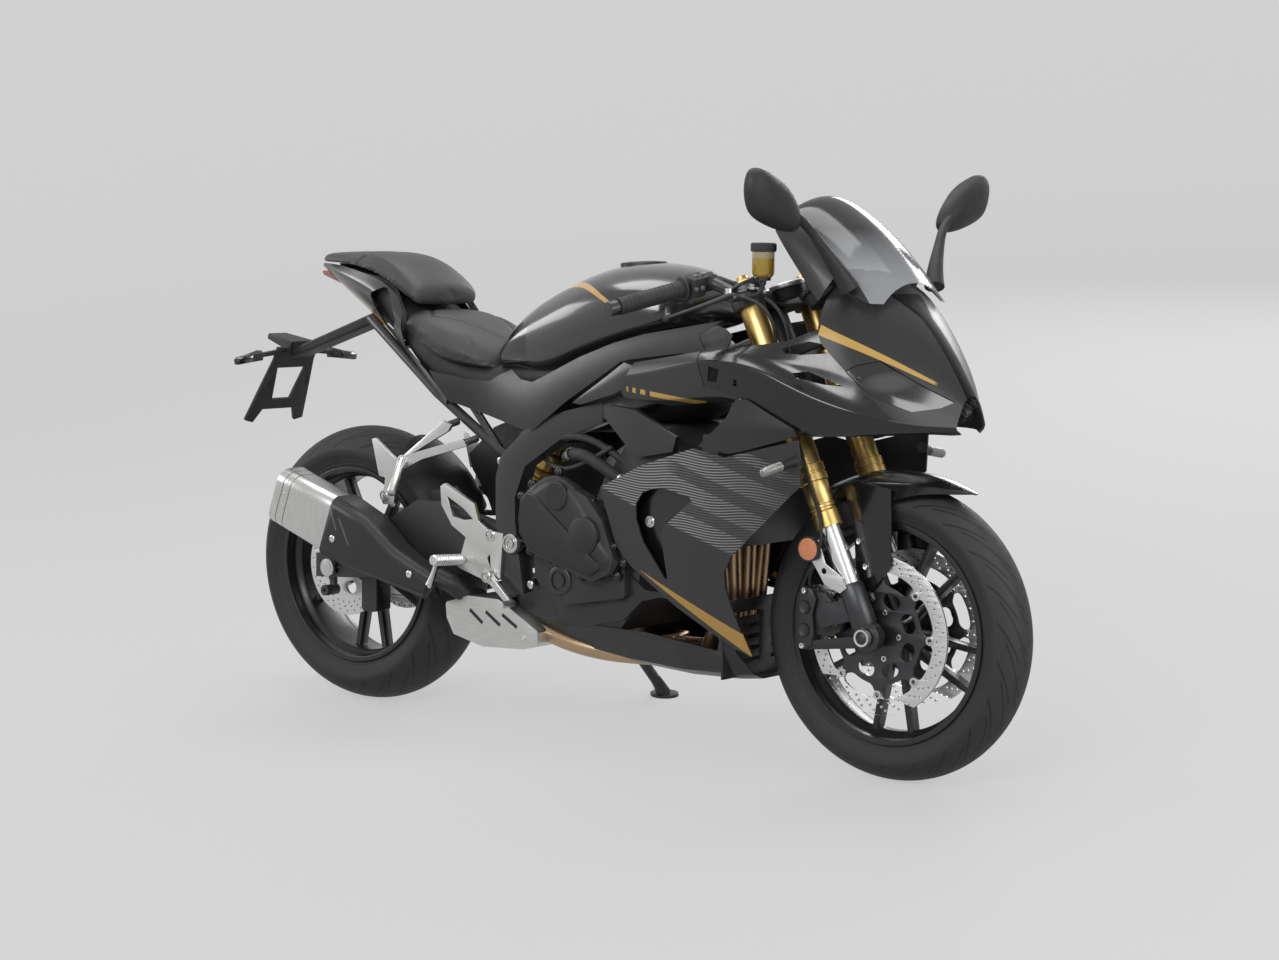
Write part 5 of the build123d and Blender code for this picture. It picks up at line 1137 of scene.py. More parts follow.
def padded(name, form, seam, depth, reach, stands_for):
    """A pad: smooth form, puffed by cloth under pressure, then pulled in along its seam, with painted shade
    along it.
    """
    pad = closed_form(form, levels=2)
    apply(pad, "DISPLACE", strength=-0.002, mid_level=0)
    apply(pad, "REMESH", mode="VOXEL", voxel_size=0.0055)
    rest = [vertex.co.copy() for vertex in pad.data.vertices]
    cloth = pad.modifiers.new("foam", "CLOTH")
    cloth.settings.use_pressure = True
    cloth.settings.uniform_pressure_force = 4
    cloth.settings.effector_weights.gravity = 0
    for number in range(1, 21):
        bpy.context.scene.frame_set(number)
    puffed = pad.evaluated_get(bpy.context.evaluated_depsgraph_get())
    swollen = [vertex.co.copy() for vertex in puffed.data.vertices]
    pad.modifiers.remove(cloth)
    bpy.context.scene.frame_set(1)
    for vertex, before, after in zip(pad.data.vertices, rest, swollen):
        move = (after - before) * (0.0 if vertex.normal.z < -0.5 else 1.0)
        vertex.co = before + move * min(1, reach / max(move.length, 1e-9))
    apply(pad, "SMOOTH", factor=0.5, iterations=3)
    apply(pad, "SUBSURF", levels=1, render_levels=1)
    seam_shade = pad.data.attributes.new("seam_shade", "FLOAT", "POINT")
    away = [seam(vertex.co.x / thousandth, vertex.co.y / thousandth) for vertex in pad.data.vertices]
    normals = [vertex.normal.copy() for vertex in pad.data.vertices]
    for vertex, off, normal in zip(pad.data.vertices, away, normals):
        if normal.z > -0.1:
            # The seam is pulled in, and a mask of painted shade is laid along it.
            pull = math.exp(-(off / 6.0) ** 2)
            vertex.co -= normal * depth * thousandth * pull
            seam_shade.data[vertex.index].value = math.exp(-(off / 3.2) ** 2)
    settle(pad, name, "frame", seat_vinyl, stands_for, 60)
    return pad


seat_vinyl = Finish("seat_vinyl", (0.030, 0.030, 0.031), 0.58)
pebbles = Paint.node("TexVoronoi", {"feature": "SMOOTH_F1"}, Vector=spot(), Scale=620.0)
seam_shade_mask = Paint.node("Attribute", {"attribute_name": "seam_shade"}, out="Fac")
mottle = grain(9, 4).step(0.3, 0.7)
vinyl_shade = mixed(mottle, (0.026, 0.026, 0.027, 1), (0.038, 0.038, 0.039, 1))
# The seam is painted near-black: painted shade in its crease.
seat_vinyl.set(Base_Color=mixed(seam_shade_mask, vinyl_shade, (0.004, 0.004, 0.004, 1)),
               Roughness=0.52 + mottle * 0.1, Normal=bumped(pebbles, 0.00022))
padded("rider_pad", rider_form, teardrop, 3.2, 0.007, ["rider_seat"])
padded("pillion_pad", pillion_form, cross_seam, 8.0, 0.006, ["pillion_seat"])


# ---------------------------------------------------------------- grips, levers and switches
# Ribbed rubber grips with flared hexagonal bar ends, slim forged levers with ball ends and round
# adjusters, a radial cylinder in front of each bar and moulded switch housings.
bar_inner = Vector((1096, 176, 993))
bar_outer = Vector((1006, 366, 941))


def across_bike(point, side):
    """A point of the left side, or its mirror on the right."""
    return Vector((point[0], side * point[1], point[2]))


def tapered(points, radii, squash=1.0):
    """A bar of changing thickness along a smooth line, pressed flat in height."""
    places = [Vector(place) * thousandth for place in points]
    piece = round_line("bar", places, radii, bevel_depth=thousandth, use_fill_caps=True)
    if squash != 1:
        low, high = places[0], places[-1]
        for vertex in piece.data.vertices:
            share = (vertex.co - low).dot(high - low) / (high - low).length_squared
            level_z = low.z + (high.z - low.z) * share
            vertex.co.z = level_z + (vertex.co.z - level_z) * squash
    return outward(piece)


grip_length = 149.5
grip_bore = 11.3
grip_profile = [(0, grip_bore), (0, 24), (3, 25), (5, 24), (6, 17.5)]
for ridge in range(13):
    start = 10 + ridge * 10
    grip_profile += [(start, 16.6), (start + 1, 17.6), (start + 6.5, 17.6), (start + 7.5, 16.6)]
grip_profile += [(142, 17.2), (146, 18.4), (149, 18.4), (grip_length, grip_bore)]
weight_profile = [(0.4, 11), (0.4, 15), (3, 16), (18, 14.5), (21.5, 12), (21.8, 6), (17, 5.6), (17, 0)]
grip_rubber = worn("grip_rubber", (0.014, 0.014, 0.015), 0.68, fine=1600, depth=0.00012)
grips, weights, levers, pins, housings, keys, cylinders = [], [], [], [], [], [], []
lever_tip = Vector((1100, 334, 920))
lever_pivot = Vector((1152, 194, 966))
for side in (-1, 1):
    start, end = across_bike(bar_inner, side), across_bike(bar_outer, side)
    reach = (end - start).normalized()
    grips.append(turned(grip_profile, end - reach * grip_length, reach, 36))
    weights.append(turned(weight_profile, end + reach * 0.2, reach, 6))
    pivot, tip = across_bike(lever_pivot, side), across_bike(lever_tip, side)
    middle = pivot.lerp(tip, 0.5) + Vector((9, 0, 2))
    levers.append(tapered([pivot - reach * 12, pivot.lerp(tip, 0.16) + Vector((6, 0, 0)), middle,
                           pivot.lerp(tip, 0.86), tip], [8.5, 9, 6, 5, 4.6], 0.62))
    levers.append(turned([(-7, 0), (-7, 2), (-5, 5), (0, 7), (5, 5), (7, 2), (7, 0)], tip, (0, 0, 1), 20))
    pins.append(turned([(0, 0), (0, 4), (1.5, 4.5), (1.5, 10), (-18, 10), (-18, 0)],
                       pivot + Vector((-4, 0, 11)), (0, 0, 1), 24))
    housing_plan = [(24, -20), (24, 20), (34, 24), (58, 22), (60.5, 18), (60.5, -18), (54, -22), (34, -22)]
    up = Vector((0.25, 0, 1)).normalized()
    ahead = up.cross(reach).normalized() * side
    body = flat([housing_plan], -20, 20, 5)
    turn = Matrix((reach, up.cross(reach) * -1, up)).transposed().to_4x4()
    upright_plan = Matrix.Rotation(math.radians(90), 4, "X")
    body.data.transform(Matrix.Translation(start * thousandth) @ turn @ upright_plan)
    housings.append(outward(body))
    housings.append(turned([(-10, 11.5), (-10, 19), (10, 19), (10, 11.5)], start + reach * 12, reach, 28))
    for along_bar, lift in ((36, 24), (50, 23)):
        keys.append(turned([(-6, 0), (-6, 5), (1, 5), (2, 3.6), (2, 0)],
                           start + reach * along_bar + up * lift - ahead * 6, up, 16))
    for along_bar in (38, 52):
        keys.append(turned([(-4, 0), (-4, 4.5), (3, 4.5), (4, 3), (4, 0)],
                           start + reach * along_bar - ahead * 23, -ahead, 16))
    cylinders.append(tapered([start + reach * 12, start + reach * 6 + Vector((26, 0, -8)),
                              pivot - reach * 8], [14, 12, 12]))
    cylinders.append(turned([(-30, 0), (-30, 9), (-26, 10.5), (30, 10.5), (33, 8), (40, 6.4), (40, 0)],
                            pivot + Vector((14, side * -24, 0)), (0.35, -side, 0.22), 28))
settle(joined(grips), "rubber_grips", "steering", grip_rubber, ["grips"], 40)
settle(joined(weights), "bar_ends", "steering", moulded_black)
settle(joined(levers), "levers", "steering", moulded_black, ["hand_controls"], 50)
for side in (-1, 1):
    banjo = across_bike(lever_pivot, side) + Vector((26, side * -34, 12))
    pins.append(turned([(0, 0), (0, 9), (3, 9), (3, 6), (9, 6), (9, 3), (5, 2.6), (5, 0)], banjo,
                       (0.2, 0, 1), 6))
settle(joined(pins), "lever_pivots", "steering", steel)
settle(joined(housings), "switch_housings", "steering", moulded_black)
switch_grey = worn("switch_grey", (0.09, 0.09, 0.092), 0.5, fine=1200, depth=0.00004)
settle(joined(keys), "switch_keys", "steering", switch_grey)
settle(joined(cylinders), "lever_brackets", "steering", dark_alloy)

# Brake fluid pot: amber see-through cup, half full, in a bracket under a knurled black cap.
pot_x, pot_y = 1202, -152
pot_foot = (pot_x, pot_y, 1000)
knurls = 36
cap = turned([(52, 23.6), (53, 25.4), (56, 26), (66, 26), (69, 24.6), (70, 21), (69, 17), (67.6, 0)],
             pot_foot, (0, 0, 1), 72)
for vertex in cap.data.vertices:
    off = Vector((vertex.co.x - pot_x * thousandth, vertex.co.y - pot_y * thousandth, 0))
    if off.length > 0.0255 and round(math.atan2(off.y, off.x) / math.tau * knurls * 2) % 2:
        vertex.co -= off * 0.04
settle(cap, "pot_cap", "steering", moulded_black, (), 25)
amber_fluid = Finish("amber_fluid", (0.62, 0.40, 0.04), 0.08, 0.0, Coat_Weight=1.0)
x, y, z = bike_axes()
filled = 1 - z.step(1.0385, 1.0395)
amber_fluid.set(Base_Color=mixed(filled, (0.42, 0.36, 0.20, 1), (0.34, 0.21, 0.012, 1)),
                Alpha=0.55 + filled * 0.35)
pot = turned([(0, 0), (0, 15), (4, 20), (10, 22.6), (52, 23), (52, 21.4), (11, 21), (5, 18), (2, 14),
              (2, 0)], pot_foot, (0, 0, 1), 48)
settle(pot, "fluid_pot", "steering", amber_fluid, ["brake_reservoir"], 40)
neck = turned([(-14, 0), (-14, 6), (-6, 6.5), (-5, 15.5), (1, 16), (1, 0)], pot_foot, (0, 0, 1), 28)
stay = tapered([(pot_x - 6, pot_y - 22, 1001), (pot_x - 30, pot_y - 34, 990), (1158, -190, 979)],
               [5, 5, 6], 0.6)
settle(joined([neck, stay]), "pot_bracket", "steering", dark_alloy)
hose("fluid_hose", [(pot_x, pot_y, 988), (pot_x + 2, pot_y - 4, 972), (1180, -168, 962),
                    (1166, -176, 968)], 4, "steering", rubber)

# Lock housing: a bright round cap on a ribbed drum, ahead of the top yoke.
drum_foot = Vector((1176, -20, 956))
drum_axis = (-0.3, -0.1, 1)
drum_profile = [(0, 0), (0, 30)]
for rib in range(4):
    drum_profile += [(2 + rib * 5, 31), (3.2 + rib * 5, 33), (5 + rib * 5, 33), (6.2 + rib * 5, 31)]
drum = turned([*drum_profile, (24, 32), (24, 0)], drum_foot, drum_axis, 40)
settle(drum, "lock_drum", "steering", moulded_black)
lock_cap = turned([(24, 30), (24, 36), (27, 37.5), (32, 37), (35, 33), (36, 24), (34, 21), (34, 0)],
                  drum_foot, drum_axis, 48)
settle(lock_cap, "lock_cap", "steering", bright_alloy)
yoke_nut = turned([(-2, 0), (-2, 16), (10, 16), (12, 14), (12, 10), (4, 9.2), (4, 0)],
                  on_leg(-30, 0, 738), leg_up, 6)
settle(yoke_nut, "stem_nut", "steering", steel)
brake_hose = [(1160, -190, 964), (1205, -198, 962), (1246, -186, 932), (1242, -154, 872), (1214, -120, 800)]
hose("brake_hose", brake_hose, 3.6, "steering", rubber)
clutch_cable = [(1150, 176, 962), (1200, 178, 966), (1250, 150, 930), (1240, 100, 860), (1190, 70, 800)]
hose("clutch_cable", clutch_cable, 3.2, "steering", rubber)

# ---------------------------------------------------------------- mirrors
# Smooth moulded heads with flat glass that looks back. Their stalks pass through the flanks of the
# screen and end a centimetre short of the nose.
head_outline = [(-93, -29), (-86, -8), (-60, 14), (-22, 38), (30, 46), (62, 49), (84, 44), (92, 28),
                (90, 4), (76, -24), (54, -42), (10, -48), (-40, -49), (-80, -44)]
shells, glasses, stalks = [], [], []
for side in (-1, 1):
    middle = Vector((1352, side * 336, 1152))
    wide = Vector((0, side, 0.22)).normalized()
    back = Vector((-0.97, side * -0.12, 0.05)).normalized()
    tall = back.cross(wide).normalized()
    tall = tall if tall.z > 0 else -tall
    rows = []
    for depth, size in ((1, 0), (1, 0.9), (2, 0.93), (6, 0.95), (6, 1), (-4, 1.03), (-16, 0.98),
                        (-27, 0.78), (-33, 0.45), (-34.5, 0.0)):
        ring = [middle + wide * u * size + tall * v * size + back * depth for u, v in head_outline]
        rows.append([*ring, ring[0]])
    head = outward(grid_of(rows))
    shells.append(apply(head, "SUBSURF", levels=2, render_levels=2))
    centre = middle + back * 3.2
    inner = [middle + wide * u * 0.9 + tall * v * 0.9 + back * 3.2 for u, v in head_outline]
    face = outward(grid_of([[centre] * (len(inner) + 1), [*inner, inner[0]]]))
    apply(face, "SOLIDIFY", thickness=0.0015, offset=0)
    glasses.append(face)
    base = Vector((1410, side * 152, 984))
    stalks.append(tapered([base, (1400, side * 166, 1010), (1380, side * 214, 1072),
                           (1370, side * 244, 1106), (1366, side * 290, 1132), (1370, side * 320, 1142)],
                          [21, 17, 10, 9, 10, 10]))
settle(joined(shells + stalks), "mirror_heads", "frame", moulded_black, ["mirrors"], 50)
mirror_glass = Finish("mirror_glass", (0.75, 0.76, 0.78), 0.03, 1.0)
mirror_glass.set(Roughness=0.03 + grain(30).step(0.5, 0.8) * 0.05)
settle(joined(glasses), "mirror_glasses", "frame", mirror_glass)


# ---------------------------------------------------------------- nose, lamps and stripes
# The nose has a gloss black centre strip between two raised borders, and a gold stripe that
# narrows along its lower edge. The lamps are smoked, the headlight lens with a painted reflection
# in its middle, and the panel behind carries gold dashes.
gold_ink = (0.44, 0.27, 0.07, 1)
nose_paint = worn("nose_paint", (0.018, 0.018, 0.019), 0.36, fine=1800, depth=0.00001, Coat_Weight=0.1,
                  Coat_Roughness=0.3, Specular_IOR_Level=0.3)
x, y, z = bike_axes()
along = x - 1.372
off = z - (0.915 - along * 0.40 - along * along * 0.97)
lower_stripe = (1 - off.step(-0.0006, 0.0006)) * (off + 0.020 - along * 0.078).step(-0.0006, 0.0006)
lower_stripe = lower_stripe * x.step(1.3725, 1.374) * (1 - x.step(1.556, 1.562))
strip_half_width = 0.017
strip_ahead = x.step(1.44, 1.45)
strip_edge = y.by("ABSOLUTE") - strip_half_width - (z - 0.925).by("MAXIMUM", 0) * 0.9
strip = (1 - strip_edge.step(-0.0005, 0.0005)) * strip_ahead
border = strip_edge.band(-0.001, 0.0015, 0.0008) * strip_ahead
border = border + strip_edge.band(-0.0085, -0.007, 0.0005) * strip
nose_colour = mixed(strip, (0.018, 0.018, 0.019, 1), (0.004, 0.004, 0.005, 1))
nose_colour = mixed(border * 0.8, nose_colour, (0.085, 0.085, 0.088, 1))
nose_paint.set(Base_Color=mixed(lower_stripe, nose_colour, gold_ink), Roughness=0.40 - strip * 0.04,
               Normal=bumped(border, 0.0006))
band_tool = prism([(-17, 690), (17, 690), (17, 925), (52, 972), (-52, 972), (-17, 925)], -1640, -1440)
band_tool.data.transform(Matrix.Rotation(math.radians(90), 4, "Z"))
centre_strip = trimmed(copied(nose), band_tool)
apply(centre_strip, "DISPLACE", strength=0.0012, mid_level=0)
strip_black = worn("strip_black", (0.004, 0.004, 0.005), 0.55, fine=1800, depth=0.00001,
                   Specular_IOR_Level=0.12)
settle(centre_strip, "nose_strip", "frame", strip_black)
settle(nose, "nose", "frame", nose_paint, ["nose_cowl"])

dashed = worn("dashed_panel", (0.016, 0.016, 0.017), 0.38, fine=1800, depth=0.00001, Coat_Weight=0.3,
              Coat_Roughness=0.3, Specular_IOR_Level=0.35)
x, y, z = bike_axes()
rise = z - (0.768 - (x - 0.905) * 0.0905)
dashes = x.band(0.907, 0.912, 0.0004) + x.band(0.924, 0.934, 0.0004) + x.band(0.947, 0.962, 0.0004)
bar = rise.band(-0.005, 0.005) * (dashes + x.band(0.975, 1.118, 0.0004))
bar = bar + rise.band(-0.0062, -0.0035) * x.band(1.118, 1.205)
dashed.set(Base_Color=mixed(bar, (0.016, 0.016, 0.017, 1), gold_ink))
settle(mid_panel, "mid_panel", "frame", dashed, ["mid_panels"])

smoked_lamp = Finish("smoked_lamp", (0.012, 0.012, 0.013), 0.14, 0.0, Coat_Weight=0.4, Coat_Roughness=0.1)
x, y, z = bike_axes()
# Painted reflection: the headlight lens is painted a lighter grey in a soft spot at its middle.
glow_and_painted_sheen = ((x - 1.50) * 26).by("POWER", 2) + ((z - 0.806) * 46).by("POWER", 2)
smoked_lamp.set(Base_Color=mixed(1 - glow_and_painted_sheen.step(0.2, 1.0), (0.012, 0.012, 0.013, 1),
                                 (0.055, 0.055, 0.056, 1)))
lamp_face = [(1424, 822), (1444, 845), (1482, 856), (1536, 820), (1598, 770), (1578, 750), (1538, 742),
             (1478, 772)]
settle(panel(sunk(upper_form, 5), 3, lamp_face, ridges), "headlight_lens", "frame", smoked_lamp,
       ["headlights"])

wedge_form = (
    (737, [(179, 722), (182, 727), (182, 731), (179, 736)]),
    (800, [(184, 735), (189, 748), (189, 762), (184, 774)]),
    (857, [(190, 750), (196, 770), (196, 790), (190, 808)]),
    (889, [(194, 762), (200, 785), (201, 806), (196, 824)]),
    (924, [(198, 798), (204, 806), (205, 814), (200, 822)]),
)
wedge_outline = [(737, 729), (759, 726), (857, 754), (893, 771), (916, 814), (885, 820), (824, 782)]
pale_satin = worn("pale_satin", (0.055, 0.055, 0.057), 0.34, 0.3, fine=1800, depth=0.00001)
settle(panel(wedge_form, 3, wedge_outline, levels=2), "knee_panel", "frame", pale_satin)

# ---------------------------------------------------------------- airbox and undertray
# What fills the bike between its panels: a black airbox under the tank, the undertray that runs
# on below both seats, and a guard plate beside the shock absorber.
core_form = (
    (-70, [(26, 966), (42, 974), (42, 988), (28, 996), (0, 997)]),
    (40, [(40, 922), (70, 940), (74, 970), (60, 988), (0, 990)]),
    (140, [(44, 838), (84, 856), (90, 920), (78, 944), (0, 948)]),
    (215, [(60, 766), (106, 798), (116, 862), (94, 888), (0, 893)]),
    (300, [(70, 700), (112, 728), (122, 786), (94, 812), (0, 820)]),
    (400, [(60, 672), (94, 700), (100, 765), (80, 790), (0, 796)]),
    (500, [(70, 652), (102, 680), (108, 770), (88, 796), (0, 800)]),
    (620, [(80, 652), (106, 680), (112, 780), (92, 815), (0, 825)]),
    (760, [(85, 660), (110, 690), (118, 810), (98, 850), (0, 860)]),
    (900, [(85, 680), (108, 720), (120, 840), (98, 872), (0, 880)]),
    (1004, [(60, 710), (84, 740), (92, 840), (76, 870), (0, 876)]),
)
settle(closed_form(core_form, levels=2), "airbox", "frame", moulded_black, (), 60)
guard_edge = [(300, 440), (286, 470), (268, 500), (236, 540), (225, 575), (300, 640), (430, 690),
              (560, 690), (612, 640), (628, 560), (600, 505), (520, 466), (420, 436)]
settle(flat([guard_edge], 70, 74, 1), "inner_guard", "frame", moulded_black)


# ---------------------------------------------------------------- engine covers and bolts
# Sculpted clutch cover with a raised diagonal panel and round bosses, a ring of flange bolts, the
# oil filter below it, and the alternator cover on the other side.
def against(piece, x, z, side=-1):
    """Where the side of a piece is met from outside, at that x and z."""
    place = piece.matrix_world.inverted() @ stance
    start = place @ (Vector((x, side * 600, z)) * thousandth)
    hit, where, _, _ = piece.ray_cast(start, place.to_3x3() @ Vector((0, -side, 0)))
    return (place.inverted() @ where).y / thousandth if hit else side * 150


def bolt(piece, x, z, radius, side=-1, lift=0.0):
    """Dome-headed bolt with a socket, driven into the side of a piece."""
    profile = [(-2, 0), (-2, radius), (1.5, radius), (2.6, radius * 0.82), (2.9, radius * 0.5),
               (1.0, radius * 0.44), (1.0, 0)]
    return turned(profile, (x, against(piece, x, z, side) + side * lift, z), (0, side, 0), 18)


def ringed(piece, x, z, radius, side=-1):
    """A bolt inside a turned ring with a groove."""
    profile = [(-3, 0), (-3, radius), (2.5, radius), (3.5, radius - 1.2), (3.5, radius * 0.76),
               (1.2, radius * 0.7), (1.2, radius * 0.52), (4.2, radius * 0.48), (4.6, radius * 0.36),
               (2.4, radius * 0.27), (2.4, 0)]
    return turned(profile, (x, against(piece, x, z, side), z), (0, side, 0), 28)


def sculpted(outline, steps, middle):
    """A cover drawn in rings: (y, size) steps from the joint face to its crown."""
    rings = []
    left, low = middle
    for y, size in steps:
        ring = [(left + (x - left) * size, y, low + (z - low) * size) for x, z in outline]
        rings.append([*ring, ring[0]])
    return outward(grid_of(rings))


bpy.context.view_layer.update()
clutch_centre = (745, 465)
cover_edge = [(680, 571), (712, 576), (758, 557), (794, 520), (828, 471), (852, 438), (880, 408),
              (864, 381), (814, 363), (770, 372), (690, 400), (640, 412), (615, 446), (611, 486),
              (614, 522), (642, 548)]
clutch = sculpted(cover_edge, ((-180, 1), (-199, 1), (-203, 0.975), (-206, 0.9), (-210.5, 0.84),
                               (-212, 0.8), (-212, 0)), clutch_centre)
panel_edge = [(618, 478), (622, 516), (642, 536), (662, 532), (836, 404), (838, 390), (814, 374),
              (740, 393), (645, 420), (622, 448)]
diagonal = sculpted(panel_edge, ((-206, 1), (-212, 1), (-215.5, 0.965), (-216, 0.93), (-215, 0.0)),
                    (715, 450))
lobe = turned([(0, 0), (0, 52), (8, 50), (10, 46), (10, 0)], (722, -206, 534), (0, -1, 0), 48)
apply(lobe, "BEVEL", width=0.0015, segments=2, limit_method="ANGLE", angle_limit=math.radians(40))
boss = turned([(0, 0), (0, 41), (9, 39), (11, 35), (11, 0)], (806, -206, 452), (0, -1, 0), 48)
lobe.data.transform(Matrix.Diagonal((0.6, 1, 0.6, 1)))
lobe.data.transform(Matrix.Translation(Vector((0.722 * 0.4, 0, 0.534 * 0.4))))
boss.data.transform(Matrix.Translation(Vector((-0.010, 0, 0.004))))
engine_black = worn("engine_black", (0.022, 0.022, 0.024), 0.5, 0.25, spread=0.14, fine=1300, depth=0.0001,
                    Specular_IOR_Level=0.4)
plates = joined([clutch, diagonal, lobe, boss])
settle(plates, "clutch_cover", "frame", engine_black, (), 34)
flange_bolts = []
for x, z in cover_edge:
    if (x + z) % 2 == 0 or x > 850:
        out = (Vector((x, z)) - Vector(clutch_centre)).normalized() * 7
        lug_at = (x + out.x, -192, z + out.y)
        flange_bolts.append(turned([(-12, 0), (-12, 8.5), (0, 8.5), (1, 6), (5, 6), (6, 4.5), (6, 2.4),
                                    (3, 2.2), (3, 0)], lug_at, (0, -1, 0), 16))
filter_foot = Vector((706, -150, 352))
oil_filter = turned([(0, 0), (0, 33), (24, 33), (30, 30), (32, 26), (32, 21), (29, 20), (29, 15),
                     (32, 14), (32, 0)], filter_foot, (0, -1, 0), 36)
settle(joined(flange_bolts), "flange_bolts", "frame", dark_alloy)
settle(oil_filter, "oil_filter", "frame", dark_alloy)
shaft_x, shaft_z = 800, 400
case_bolt_circle = 84
alternator = turned([(-6, 0), (-6, 77), (2, 77), (4, 74), (5, 58), (10, 54), (11, 20), (9, 16), (9, 0)],
                    (shaft_x, 200, shaft_z), (0, 1, 0), 64)
case_bolts = []
for angle in (0.2, 1.1, 2.1, 3.2, 4.2, 5.3):
    x, z = shaft_x + case_bolt_circle * math.cos(angle), shaft_z + case_bolt_circle * math.sin(angle)
    case_bolts.append(turned([(-6, 0), (-6, 6), (5, 6), (6, 4.5), (6, 0)], (x, 196, z), (0, 1, 0), 16))
settle(joined([alternator, *case_bolts]), "alternator_cover", "frame", engine_black, (), 34)

# hoses and wiring over the crankcase, seen through the frame opening
hose("coolant_hose", [(690, -140, 610), (740, -168, 628), (800, -160, 600), (860, -140, 560)], 13,
     "frame", rubber)
hose("breather_hose", [(640, -130, 640), (700, -160, 660), (790, -150, 650), (850, -130, 600)], 8,
     "frame", rubber)
hose("wiring_loom", [(620, -128, 600), (660, -150, 585), (740, -170, 588), (820, -150, 640)], 5, "frame",
     rubber)
clamps = [turned([(-5, 13.6), (-5, 14.8), (5, 14.8), (5, 13.6)], place, axis, 28)
          for place, axis in (((716, -156, 618), (2, -1, 0.8)), ((842, -148, 574), (2, 0.8, -1.4)))]
frame_rings = [turned([(-8, 21), (4, 21), (5.5, 19.5), (5.5, 16), (2, 15), (2, 11), (6, 10), (6.5, 7),
                       (3, 6), (3, 0)], (558, side * 166, 417), (0, side, 0), 32) for side in (-1, 1)]
small_rings = [bolt(nodes["main_frame"], *place, 9, side)
               for side in (-1, 1) for place in ((513, 590), (600, 330))]
vent_bolt = ringed(bpy.data.objects["vent_scoop"], 956, 497, 12)
settle(joined([*clamps, *frame_rings, *small_rings, vent_bolt]), "frame_bolts", "frame", steel)

# ---------------------------------------------------------------- exhaust
# Heat-tinted headers, a brushed under-box with three slots, and a can with a riveted band at its
# mouth behind a black cover with two slits.
def slit(x, z, start, end, half):
    """1 inside a straight slot from one (x, z) to another."""
    reach = (Vector(end) - Vector(start)) * thousandth
    way = reach.normalized()
    left, low = start[0] * thousandth, start[1] * thousandth
    run = (x - left) * way.x + (z - low) * way.y
    away = (x - left) * -way.y + (z - low) * way.x
    return run.band(0, reach.length) * away.band(-half * thousandth, half * thousandth)


brushed_box = Finish("brushed_box", (0.60, 0.60, 0.59), 0.32, 1.0)
x, y, z = bike_axes()
# The three slots are not cut: they are painted near-black and matt, as painted shade inside their openings.
slots = slit(x, z, (447, 264), (484, 238), 4) + slit(x, z, (493, 264), (534, 238), 4)
slots = (slots + slit(x, z, (540, 262), (582, 238), 4)) * (1 - y.step(-0.150, -0.149))
lines = grain(500, 2, stretch=(0.05, 1, 1))
brushed_box.set(Base_Color=mixed(slots, mixed(lines.step(0.3, 0.7), (0.50, 0.50, 0.49, 1),
                                              (0.62, 0.62, 0.61, 1)), (0.012, 0.011, 0.010, 1)),
                Roughness=0.28 + lines * 0.14 + slots * 0.4, Metallic=1 - slots,
                Normal=bumped(1 - slots, 0.0015))
softened("exhaust_box", brushed_box)
can_axis = Vector((-0.943, 0, 0.333))
can_foot = Vector((0.060, 0, 0.430))
brushed_can = Finish("brushed_can", (0.62, 0.62, 0.61), 0.30, 1.0)
x, y, z = bike_axes()
station = (x - can_foot.x) * can_axis.x + (z - can_foot.z) * can_axis.z
band_lines = station.band(0.106, 0.108, 0.0005) + station.band(0.128, 0.130, 0.0005)
rivet = station.band(0.1155, 0.1205) * (z * 38).by("FRACT").band(0.4, 0.56, 0.02)
lines = grain(620, 2, stretch=(1, 1, 0.04))
brushed_can.set(Base_Color=mixed(band_lines, mixed(lines.step(0.3, 0.7), (0.52, 0.52, 0.51, 1),
                                                   (0.64, 0.64, 0.63, 1)), (0.10, 0.10, 0.10, 1)),
                Roughness=0.26 + lines * 0.12, Normal=bumped(rivet - band_lines, 0.0010))
softened("silencer_can", brushed_can)
cover_black = worn("cover_black", (0.016, 0.016, 0.017), 0.48, fine=1700, depth=0.00005,
                   Specular_IOR_Level=0.4)
x, y, z = bike_axes()
cuts = slit(x, z, (92, 470), (112, 416), 2.5) + slit(x, z, (120, 444), (150, 388), 2.5)
cover_black.set(Base_Color=mixed(cuts, (0.016, 0.016, 0.017, 1), (0.10, 0.10, 0.10, 1)),
                Normal=bumped(1 - cuts, 0.002))
softened("silencer_cover", cover_black)
cover_bolts = [bolt(nodes["silencer_cover"], *place, 8) for place in ((196, 474), (101, 396), (325, 336))]
box_bolt = bolt(nodes["exhaust_box"], 600, 217, 5)
settle(joined([*cover_bolts, box_bolt]), "exhaust_bolts", "frame", bright_alloy)
tinted_pipe = worn("tinted_pipe", (0.40, 0.27, 0.16), 0.30, 1.0, spread=0.2, fine=1800, depth=0.000008)
x, y, z = bike_axes()
warm = (grain(6, 3) + (z - 0.35) * 1.4).step(0.3, 0.9)
tinted_pipe.set(Base_Color=mixed(warm, (0.42, 0.30, 0.19, 1), (0.24, 0.14, 0.075, 1)))
softened("exhaust_headers", tinted_pipe, edge=0)
link_line = [(560, -120, 250), (640, -128, 224), (730, -122, 205), (830, -100, 196), (920, -70, 200)]
hose("link_pipe", link_line, 19, "frame", tinted_pipe)

# Belly pan, opened along each side between its upper band and its lower blade, so that the header
# pipes show through.
belly = bpy.data.objects.new("belly", nodes["belly_pan"].data.copy())
bpy.context.scene.collection.objects.link(belly)
belly.data.transform(stance.inverted() @ nodes["belly_pan"].matrix_world)
outward(belly)
opening = [(782, 262), (866, 282), (914, 326), (960, 338), (1080, 330), (1104, 262), (1100, 240),
           (1053, 246), (920, 262)]
for near, far in ((-240, -118), (118, 240)):
    trimmed(belly, prism(opening, near, far), "DIFFERENCE")
apply(belly, "BEVEL", width=0.0012, segments=2, limit_method="ANGLE", angle_limit=math.radians(35))
settle(belly, "belly", "frame", satin_black, ["belly_pan"])

